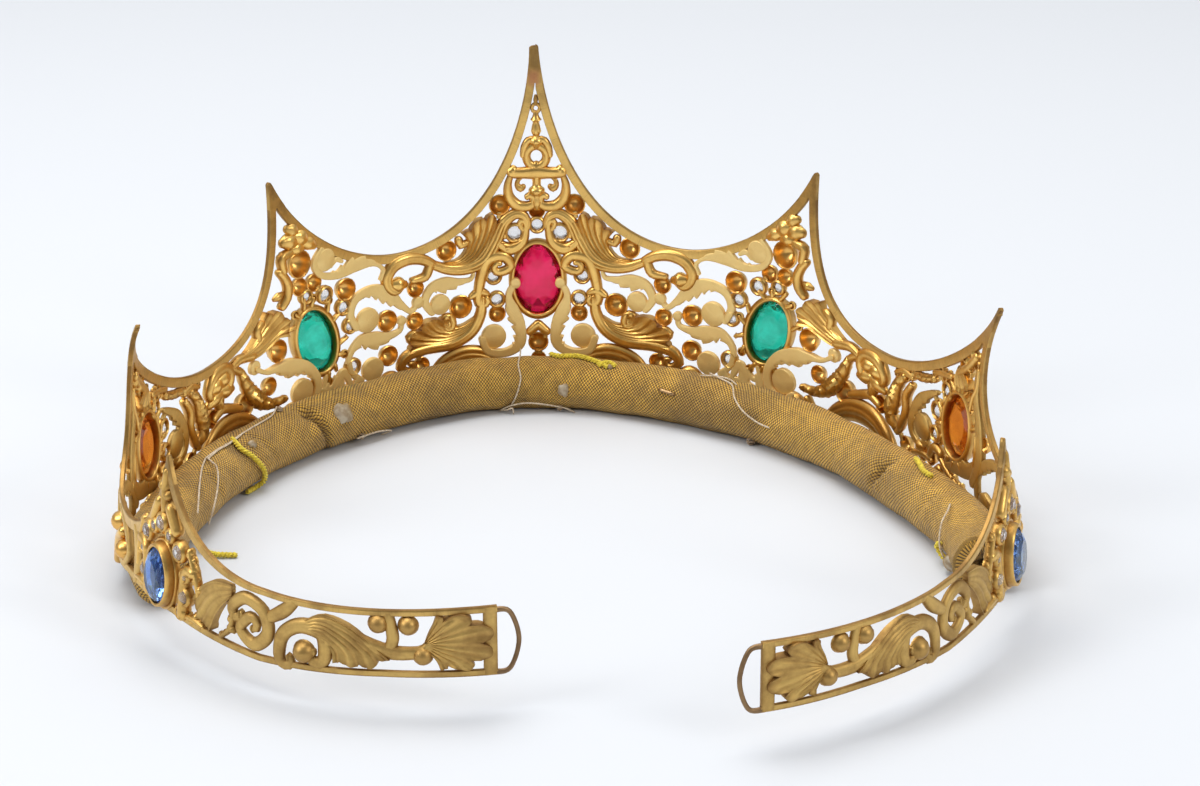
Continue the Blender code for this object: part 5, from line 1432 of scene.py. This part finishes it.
def weave_group():
    """Plain weave: height and thread shade at a place given in thread widths."""
    group, start, end = new_group("plain_weave", [("Vector", "NodeSocketVector", None)],
                                  [("Height", "NodeSocketFloat"), ("Shade", "NodeSocketFloat")])
    part = node(group, "ShaderNodeSeparateXYZ", {0: start["Vector"]}).outputs
    waves, cells = [], []
    for axis in (0, 1):
        phase = times(group, part[axis], math.pi)
        waves.append(maths(group, "ABSOLUTE", maths(group, "SINE", phase)))
        cells.append(maths(group, "FLOOR", part[axis]))
    over = maths(group, "ABSOLUTE", maths(group, "MODULO", plus(group, cells[0], cells[1]), 2.0))
    warp, weft = (
        times(group, maths(group, "POWER", across, 0.7),
              plus(group, times(group, along, 0.5), 0.5))
        for across, along in (waves, waves[::-1])
    )
    height = node(group, "ShaderNodeMix", {0: over, 2: warp, 3: weft}).outputs[0]
    weft_number = plus(group, cells[1], 300.5)
    number = node(group, "ShaderNodeMix", {0: over, 2: cells[0], 3: weft_number}).outputs[0]
    tone_place = node(group, "ShaderNodeCombineXYZ", {0: times(group, number, 0.73),
                                                      1: times(group, part[0], 0.05)}).outputs[0]
    drift = noise_at(group, tone_place, 1.0, 1.0)
    group.links.new(height, end["Height"])
    group.links.new(drift, end["Shade"])
    return group


def cloth_material():
    """Old gold-coloured cloth cut on the bias, soiled in patches, with painted shade between its threads and
    in its tucks and folds.
    """
    made, tree, shader = material("galloon_weave")
    spot = node(tree, "ShaderNodeUVMap", uv_map="weave").outputs[0]
    place = object_place(tree)
    wobble = node(tree, "ShaderNodeTexNoise", {"Vector": place, "Scale": 90.0, "Detail": 2.0}).outputs[1]
    shifted = node(tree, "ShaderNodeVectorMath", {0: wobble, 1: (0.012, 0.012, 0.0)},
                   operation="MULTIPLY").outputs[0]
    spot = node(tree, "ShaderNodeVectorMath", {0: spot, 1: shifted}, operation="ADD").outputs[0]
    on_bias = node(tree, "ShaderNodeMapping", {
        "Vector": spot, "Rotation": (0, 0, math.radians(42)), "Scale": (100 / THREAD, 100 / THREAD, 1),
    }).outputs[0]
    weave = node(tree, "ShaderNodeGroup", node_tree=weave_group())
    tree.links.new(on_bias, weave.inputs[0])
    height, shade = weave.outputs
    soil = ramp(tree, noise_at(tree, place, 55.0, 4.0, 0.6), 0.42, 0.66)
    fine = ramp(tree, noise_at(tree, place, 420.0, 3.0, 0.6), 0.4, 0.7)
    colour = mix(tree, shade, (0.60, 0.315, 0.035), (0.98, 0.60, 0.10))
    colour = mix(tree, times(tree, soil, 0.7), colour, (0.36, 0.205, 0.04))
    colour = mix(tree, times(tree, fine, 0.42), colour, (0.27, 0.155, 0.035))
    # Painted shade in the gaps between the threads.
    colour = mix(tree, ramp(tree, height, 0.78, 0.26), colour, (0.075, 0.035, 0.008))
    # Painted shade in the tucks, the folds and the gathered end's mouth.
    deep = attribute(tree, "recess")
    colour = mix(tree, times(tree, deep, 0.85), colour, (0.10, 0.05, 0.015))
    set_shader(shader, Base_Color=colour, Normal=bump(tree, height, 0.8, 0.00034), Roughness=0.62,
               Metallic=0.15, Sheen_Weight=0.12)
    return made


# Spacing of the cloth's threads, in mm.
THREAD = 0.62
# Places where the roll is drawn in: s, degrees round it, depth and reach in mm. On the roll, 90 degrees
# is its top and 180 faces the crown's centre.
TUCKS = [
    (-69.0, 122.0, 1.5, 2.6), (113.0, 142.0, 1.2, 2.6), (-26.0, 112.0, 0.5, 2.4),
    (-96.0, 120.0, 0.7, 4.0), (6.0, 108.0, 0.4, 2.5), (58.0, 110.0, 0.35, 3.0),
]
# Folds that run round part of the roll from a tuck: s, degrees at the start and end, slant in mm, depth.
FOLDS = [(-66.5, 88.0, 250.0, 7.0, 1.5), (113.0, 96.0, 200.0, -4.5, 1.4), (-88.0, 80.0, 200.0, 7.0, 0.35),
         (-112.0, 80.0, 220.0, 4.0, 0.4), (96.0, 100.0, 215.0, -5.0, 0.3), (134.0, 90.0, 210.0, -5.0, 0.3)]


def roll_place(s, degrees, lift=0.0):
    """World point on the roll's skin, `lift` millimetres above it, and how much painted shade its tucks and
    folds put there.
    """
    a = math.radians(degrees)
    inset = blend(ROLL_INSET[-1 if s < 0 else 1], abs(s))
    flat = math.cos(math.pi / ROLL_SIDES)
    radius = ROLL_RADIUS * (0.985 + 0.03 * noise.noise(Vector((s / 17, 3.1, 0.0))))
    radius += 0.42 * noise.noise(Vector((s / 9, 1.6 * math.cos(a), 1.6 * math.sin(a))))
    radius += 0.07 * noise.noise(Vector((s / 2.1, 5 * math.cos(a), 5 * math.sin(a))))
    # deep gathers the painted shade of the tucks and folds.
    deep = 0.0
    for ts, ta, depth, reach in TUCKS:
        away = math.hypot(s - ts, (degrees - ta) * math.pi / 180 * ROLL_RADIUS)
        pull = math.exp(-(away / reach) ** 2)
        if away < 4 * reach:
            spokes = math.cos(7 * math.atan2(s - ts, (degrees - ta) * 0.1))
            radius += 0.12 * depth * (spokes * math.exp(-((away - reach) / reach) ** 2))
        radius -= depth * pull
        deep = max(deep, min(1.0, 0.55 * depth * pull ** 3))
    for fs, start, end, slant, depth in FOLDS:
        t = (degrees - start) / (end - start)
        if 0 < t < 1:
            away = s - fs - slant * (t - 0.5)
            envelope = math.sin(math.pi * t) ** 0.7
            radius -= depth * envelope * math.exp(-(away / 0.9) ** 2)
            radius += 0.35 * depth * envelope * math.exp(-((away - 1.9) / 1.3) ** 2)
            deep = max(deep, 0.5 * depth * envelope * math.exp(-(away / 0.7) ** 2))
    past = -s - ROLL_REACH[-1]
    if past > 0:
        radius *= math.sqrt(max(0.15, 1 - (past / 3.4) ** 2))
    radius = min(radius, ROLL_RADIUS + 0.1)
    lean_back = math.tan(math.radians(WALL_LEAN)) * (ROLL_RADIUS * flat + radius * math.sin(a))
    height = max(0.06, ROLL_RADIUS * flat + (radius + lift) * math.sin(a))
    return on_wall(s, height, -inset + (radius + lift) * math.cos(a) + lean_back), deep


def build_roll():
    """Stuffed cloth roll with its tucks and folds; its right end is gathered in."""
    around = 84
    start, end, step = -ROLL_REACH[-1], ROLL_REACH[1], 0.8
    stations = [start - 3.2, start - 2.4, start - 1.4, start - 0.6]
    count = round((end - start) / step)
    stations += [start + (end - start) * i / count for i in range(count + 1)]
    stations += [end + 0.9, end + 1.8, end + 2.5]
    points, roll_shade, spots = [], [], []
    for s in stations:
        for i in range(around):
            degrees = 360 * i / around - 90
            point, deep = roll_place(s, degrees % 360)
            points.append(tuple(point))
            roll_shade.append(deep)
            spots.append((s / 100, degrees * math.pi / 180 * ROLL_RADIUS / 100))
    # Rings of the gathered right end: how far past the end, how far inside the skin, how much painted shade.
    mouth = [
        (2.7, -0.6, 0.1), (2.9, -1.6, 0.2), (2.5, -2.8, 0.4),
        (1.7, -3.9, 0.6), (0.6, -4.8, 0.8), (-0.6, -5.4, 1.0),
    ]
    for past, inward, dark in mouth:
        for i in range(around):
            degrees = 360 * i / around - 90
            pleat = math.cos(math.radians(5 * degrees + 40)) + 0.5 * math.cos(math.radians(9 * degrees))
            point, _ = roll_place(end + past + 0.55 * pleat * dark, degrees % 360, inward)
            points.append(tuple(point))
            roll_shade.append(min(1.0, dark * (0.45 - 0.35 * pleat) + 0.25 * dark ** 2))
            spots.append((s / 100 + 0.01 * past, degrees * math.pi / 180 * ROLL_RADIUS / 100))
    total = len(stations) + len(mouth)
    faces = [list(range(around))[::-1]]
    for level in range(total - 1):
        for i in range(around):
            j = (i + 1) % around
            a, b = level * around, (level + 1) * around
            faces.append([a + i, a + j, b + j, b + i])
    faces.append([(total - 1) * around + i for i in range(around)])
    mesh = new_mesh("cloth_roll", points, faces)
    # The recess attribute holds the roll's painted shade.
    layer = mesh.attributes.new("recess", "FLOAT", "POINT")
    layer.data.foreach_set("value", roll_shade)
    made = finish_mesh("cloth_roll", mesh, cloth_material(), 80, "padded_roll")
    uv = made.data.uv_layers.new(name="weave")
    for loop in made.data.loops:
        u, v = spots[loop.vertex_index]
        uv.data[loop.index].uv = (u, v)
    for polygon in made.data.polygons:
        rows = [uv.data[i].uv for i in polygon.loop_indices]
        if max(r[1] for r in rows) - min(r[1] for r in rows) > 0.1:
            for row in rows:
                if row[1] < 0.1:
                    row[1] += 2 * math.pi * ROLL_RADIUS / 100
    return made


def thread_material(name, light, dark):
    made, tree, shader = material(name)
    shade = ramp(tree, noise_at(tree, object_place(tree), 2200.0, 3.0), 0.35, 0.7)
    set_shader(shader, Base_Color=mix(tree, shade, light, dark), Normal=bump(tree, shade, 0.6),
               Roughness=0.7, Sheen_Weight=0.2)
    return made


def smooth_points(points, step):
    """Samples about `step` metres apart on a smooth line through world points."""
    padded = [2 * points[0] - points[1]] + points + [2 * points[-1] - points[-2]]
    rows = []
    for a, b, c, d in zip(padded, padded[1:], padded[2:], padded[3:]):
        pieces = max(2, round((c - b).length / step))
        for i in range(pieces):
            rows.append(spline(a, b, c, d, i / pieces))
    rows.append(points[-1])
    return rows


def tube(points, faces, line, radius, sides=6, strand=None):
    """Adds a round tube along a line; strand (offset, pitch, phase) winds it round the line."""
    up = Vector((0.1, 0.2, 1.0)).normalized()
    first = len(points)
    travelled = 0.0
    for i, centre in enumerate(line):
        ahead = (line[min(i + 1, len(line) - 1)] - line[max(i - 1, 0)]).normalized()
        if i:
            travelled += (centre - line[i - 1]).length
        side = ahead.cross(up).normalized()
        up = side.cross(ahead).normalized()
        if strand:
            offset, pitch, phase = strand
            a = 2 * math.pi * travelled / pitch + phase
            centre = centre + (side * math.cos(a) + up * math.sin(a)) * offset
        taper = 0.4 if i in (0, len(line) - 1) else 1.0
        for cosine, sine in circle(sides):
            points.append(tuple(centre + (side * cosine + up * sine) * radius * taper))
    for level in range(len(line) - 1):
        for k in range(sides):
            j = (k + 1) % sides
            a, b = first + level * sides, first + (level + 1) * sides
            faces.append((a + k, a + j, b + j, b + k))
    faces.append(tuple(first + k for k in range(sides))[::-1])
    last = first + (len(line) - 1) * sides
    faces.append(tuple(last + k for k in range(sides)))


def on_roll(rows):
    """World points of rows (s, degrees, millimetres off the skin)."""
    return [roll_place(s, degrees, lift)[0] for s, degrees, lift in rows]


# Plain threads: rows of (s, degrees round the roll, millimetres off its skin). The two long threads at
# the left are each laid as two rows, which meet near s = -108.
BEIGE_THREADS = [
    [(-5.0, 88, 2.0), (-5.2, 92, 0.5), (-6.2, 120, 0.2), (-6.0, 155, 0.2), (-7.6, 190, 0.3),
     (-9.0, 222, 0.4)],
    [(-12.0, 232, 0.5), (-9.0, 214, 0.8), (-4.0, 208, 0.9), (2.0, 212, 0.8), (8.0, 224, 0.7),
     (11.0, 236, 1.6)],
    [(-12.2, 236, 0.4), (-10.5, 222, 1.2), (-9.0, 214, 1.6), (-8.4, 225, 2.4)],
    [(-90.6, 97, 0.3), (-96.0, 98, 0.3), (-102.0, 100, 0.3), (-108.4, 101, 0.5)],
    [(-90.8, 99, 0.3), (-97.0, 101, 0.3), (-102.0, 102, 0.3), (-107.8, 104, 0.3)],
    [(-107.8, 100, 0.4), (-113.0, 112, 0.6), (-119.6, 133, 0.6), (-128.0, 161, 0.8)],
    [(-107.4, 103, 0.3), (-109.0, 116, 0.8), (-110.4, 130, 1.2), (-114.0, 150, 1.3),
     (-119.4, 172, 1.3), (-120.6, 205, 0.9)],
    [(-75.0, 84, 1.2), (-78.0, 92, 0.3), (-84.0, 96, 0.2), (-91.0, 97, 0.3)],
    [(46.0, 84, 1.0), (50.0, 92, 0.3), (54.0, 104, 0.2), (57.0, 134, 0.2), (61.0, 156, 0.25),
     (66.0, 170, 0.3), (71.0, 172, 0.3)],
    [(44.0, 92, 0.3), (48.0, 86, 0.5), (52.0, 88, 0.4), (55.0, 98, 0.2)],
    [(-52.0, 226, 0.3), (-56.0, 214, 0.9), (-50.0, 210, 1.2), (-45.0, 222, 1.2), (-47.0, 236, 0.8)],
    [(142.0, 118, 0.3), (146.0, 130, 1.0), (149.0, 150, 1.4), (151.0, 180, 1.4), (151.0, 205, 0.9)],
]
YELLOW_THREADS = [
    [(3.0, 84, 0.6), (6.0, 92, 0.5), (11.0, 94, 0.6), (15.0, 100, 0.5), (18.5, 112, 0.4),
     (20.0, 120, 0.4)],
    [(17.0, 116, 0.4), (19.5, 108, 0.9), (22.0, 114, 0.4)],
    [(-94.0, 92, 0.4), (-96.0, 126, 0.7), (-94.5, 155, 0.8), (-92.5, 185, 1.0), (-91.0, 212, 1.0),
     (-92.0, 230, 0.9), (-96.0, 228, 0.7)],
    [(118.0, 84, 0.6), (121.0, 90, 0.6), (125.0, 100, 0.5), (128.0, 98, 0.4)],
    [(147.0, 190, 0.4), (145.5, 198, 0.9), (147.0, 214, 1.0), (150.5, 224, 0.7)],
]
# Dried glue: s, degrees, radius in mm, height in mm.
GLUE = [(-59.5, 151, 2.4, 0.6), (8.0, 178, 1.5, 0.5), (-91.5, 131, 1.0, 0.9), (152.0, 214, 1.9, 1.6)]
KNOTS = [(-74.5, 86, 0.9), (-54.0, 219, 1.0), (62.0, 232, 1.3), (6.5, 228, 0.9), (20.5, 116, 0.7)]


# End of yellow twist that lies on the table beside the left tail, in mm.
STUB = [(-72.4, -3.6, 0.6), (-69.6, -6.6, 0.75), (-64.8, -6.9, 0.6)]


def twist(points, faces, line):
    """Adds the three strands of a twist along a line."""
    for k in range(3):
        tube(points, faces, line, 0.00031, 6, (0.00033, 0.0023, 2 * math.pi * k / 3))


def build_threads():
    """Sewing threads and their knots on the roll, and the bit of twist on the table."""
    beige = thread_material("linen_thread", (0.68, 0.57, 0.42), (0.42, 0.31, 0.20))
    yellow = thread_material("yellow_twist", (0.84, 0.68, 0.05), (0.55, 0.40, 0.02))
    old = thread_material("old_thread", (0.40, 0.28, 0.17), (0.2, 0.13, 0.07))
    kinds = (("beige_threads", BEIGE_THREADS, beige), ("yellow_threads", YELLOW_THREADS, yellow))
    for name, rows, finish in kinds:
        points, faces = [], []
        for row in rows:
            line = smooth_points(on_roll(row), 0.0004)
            if finish is beige:
                tube(points, faces, line, 0.00019)
            else:
                twist(points, faces, line)
        if finish is yellow:
            twist(points, faces, smooth_points([Vector(p) * MM for p in STUB], 0.0004))
        finish_mesh(name, new_mesh(name, points, faces), finish, 70)
    points, faces = [], []
    for s, degrees, radius in KNOTS:
        centre = roll_place(s, degrees, 0.3)[0]
        for k in range(3):
            loop = []
            for cosine, sine in circle(14) + circle(14)[:1]:
                tilt = Vector((cosine, sine * math.cos(k * 1.1), sine * math.sin(k * 1.1)))
                loop.append(centre + tilt * radius * MM * 0.6)
            tube(points, faces, loop, 0.00022)
    finish_mesh("thread_knots", new_mesh("thread_knots", points, faces), old, 70)


def build_glue():
    """Flat drops of dried glue on the roll, which thin out to the cloth's colour."""
    made, tree, shader = material("dried_glue")
    mottled = ramp(tree, noise_at(tree, object_place(tree), 600.0), 0.4, 0.65)
    tone = mix(tree, mottled, (0.72, 0.62, 0.46), (0.46, 0.33, 0.18))
    facing = node(tree, "ShaderNodeLayerWeight", {"Blend": 0.5}).outputs["Facing"]
    tone = mix(tree, ramp(tree, facing, 0.25, 0.75), tone, (0.50, 0.29, 0.07))
    set_shader(shader, Base_Color=tone, Roughness=0.3, Transmission_Weight=0.45)
    points, faces = [], []
    sides, rings = 14, 5
    for s, degrees, radius, height in GLUE:
        base, _ = roll_place(s, degrees, 0.0)
        normal = (roll_place(s, degrees, 2.0)[0] - base).normalized()
        side = normal.cross(Vector((0, 0, 1))).normalized()
        up = side.cross(normal)
        first = len(points)
        for level in range(rings):
            a = math.pi * (level + 1) / (rings + 1)
            for cosine, sine in circle(sides):
                uneven = 1 + 0.5 * noise.noise(Vector((cosine * 1.5, sine * 1.5, s)))
                wide = radius * math.sin(a) * uneven
                points.append(tuple(base + (side * cosine + up * sine) * wide * MM
                                    + normal * math.cos(a) * height * MM))
        points.append(tuple(base + normal * height * MM))
        points.append(tuple(base - normal * height * MM))
        top, bottom = len(points) - 2, len(points) - 1
        lowest = first + sides * (rings - 1)
        for k in range(sides):
            j = (k + 1) % sides
            faces.append((top, first + k, first + j))
            faces.append((bottom, lowest + j, lowest + k))
            for level in range(rings - 1):
                a, b = first + sides * level, first + sides * (level + 1)
                faces.append((a + k, b + k, b + j, a + j))
    return finish_mesh("glue_spots", new_mesh("glue_spots", points, faces), made, 70)


def build_pin():
    """The small metal staple in the top of the roll."""
    places = [(35.4, 150, -0.6), (35.8, 151, 0.25), (37.5, 153, 0.35), (39.4, 155, 0.25), (39.8, 156, -0.6)]
    points, faces = [], []
    tube(points, faces, smooth_points(on_roll(places), 0.0004), 0.0004, 8)
    return finish_mesh("staple", new_mesh("staple", points, faces), WIRE_BRASS, 60)


def build_stage():
    """The white table."""
    floor = plain_object("floor", [(-4, -3, 0), (4, -3, 0), (4, 5, 0), (-4, 5, 0)], [(0, 1, 2, 3)])
    made, _, shader = material("paper_floor")
    set_shader(shader, Base_Color=(0.60, 0.62, 0.655, 1), Roughness=0.9)
    floor.data.materials.append(made)


# Soft boxes: name, place, size, power and tint.
LIGHTS = [
    ("overhead", (-0.15, 0.15, 1.1), (1.0, 0.8), 10.2, (1.0, 0.99, 0.97)),
    ("left_box", (-1.1, -0.5, 0.8), (0.5, 0.6), 6.4, (0.97, 0.98, 1.0)),
    ("right_box", (1.0, -0.7, 0.7), (0.3, 0.5), 4.4, (1.0, 0.99, 0.97)),
]


def build_lights():
    """A soft sky that is brighter above and behind, and the soft boxes."""
    world = bpy.data.worlds.new("studio")
    world.use_nodes = True
    bpy.context.scene.world = world
    tree = world.node_tree
    ground = tree.nodes["Background"]
    place = node(tree, "ShaderNodeTexCoord").outputs["Generated"]
    axes = node(tree, "ShaderNodeSeparateXYZ", {0: place}).outputs
    high = ramp(tree, axes[2], -0.1, 0.8, 0.28, 1.0)
    back = ramp(tree, axes[1], -0.9, 0.3, 0.35, 1.0)
    tone = mix(tree, times(tree, high, back), (0.0, 0.0, 0.0), (0.97, 0.985, 1.0))
    tree.links.new(tone, ground.inputs[0])
    ground.inputs[1].default_value = 0.92
    for name, where, size, power, tint in LIGHTS:
        data = bpy.data.lights.new(name, "AREA")
        data.shape = "RECTANGLE"
        data.size, data.size_y = size
        data.energy = power
        data.color = tint
        lamp = bpy.data.objects.new(name, data)
        lamp.location = where
        lamp.rotation_euler = (Vector((0, 0, 0.03)) - Vector(where)).to_track_quat("-Z", "Y").to_euler()
        bpy.context.collection.objects.link(lamp)


def build_camera():
    """The photo's view: from behind the crown and a little above."""
    data = bpy.data.cameras.new("camera")
    data.sensor_width = 36
    data.lens = 84.0
    data.clip_start, data.clip_end = 0.05, 30
    camera = bpy.data.objects.new("camera", data)
    camera.location = (0.00606, -0.5098, 0.2171)
    tipped, rolled = Matrix.Rotation(math.radians(70), 3, "X"), Matrix.Rotation(math.radians(-0.17), 3, "Z")
    camera.rotation_euler = (tipped @ rolled).to_euler()
    bpy.context.collection.objects.link(camera)
    bpy.context.scene.camera = camera


bpy.context.scene.view_settings.view_transform = "Standard"
build_camera()
build_stage()
build_lights()
build_rim()
build_rail()
build_scrolls()
build_loops()
build_bezels()
build_balls()
build_gems()
build_rhinestones()
build_roll()
build_threads()
build_glue()
build_pin()
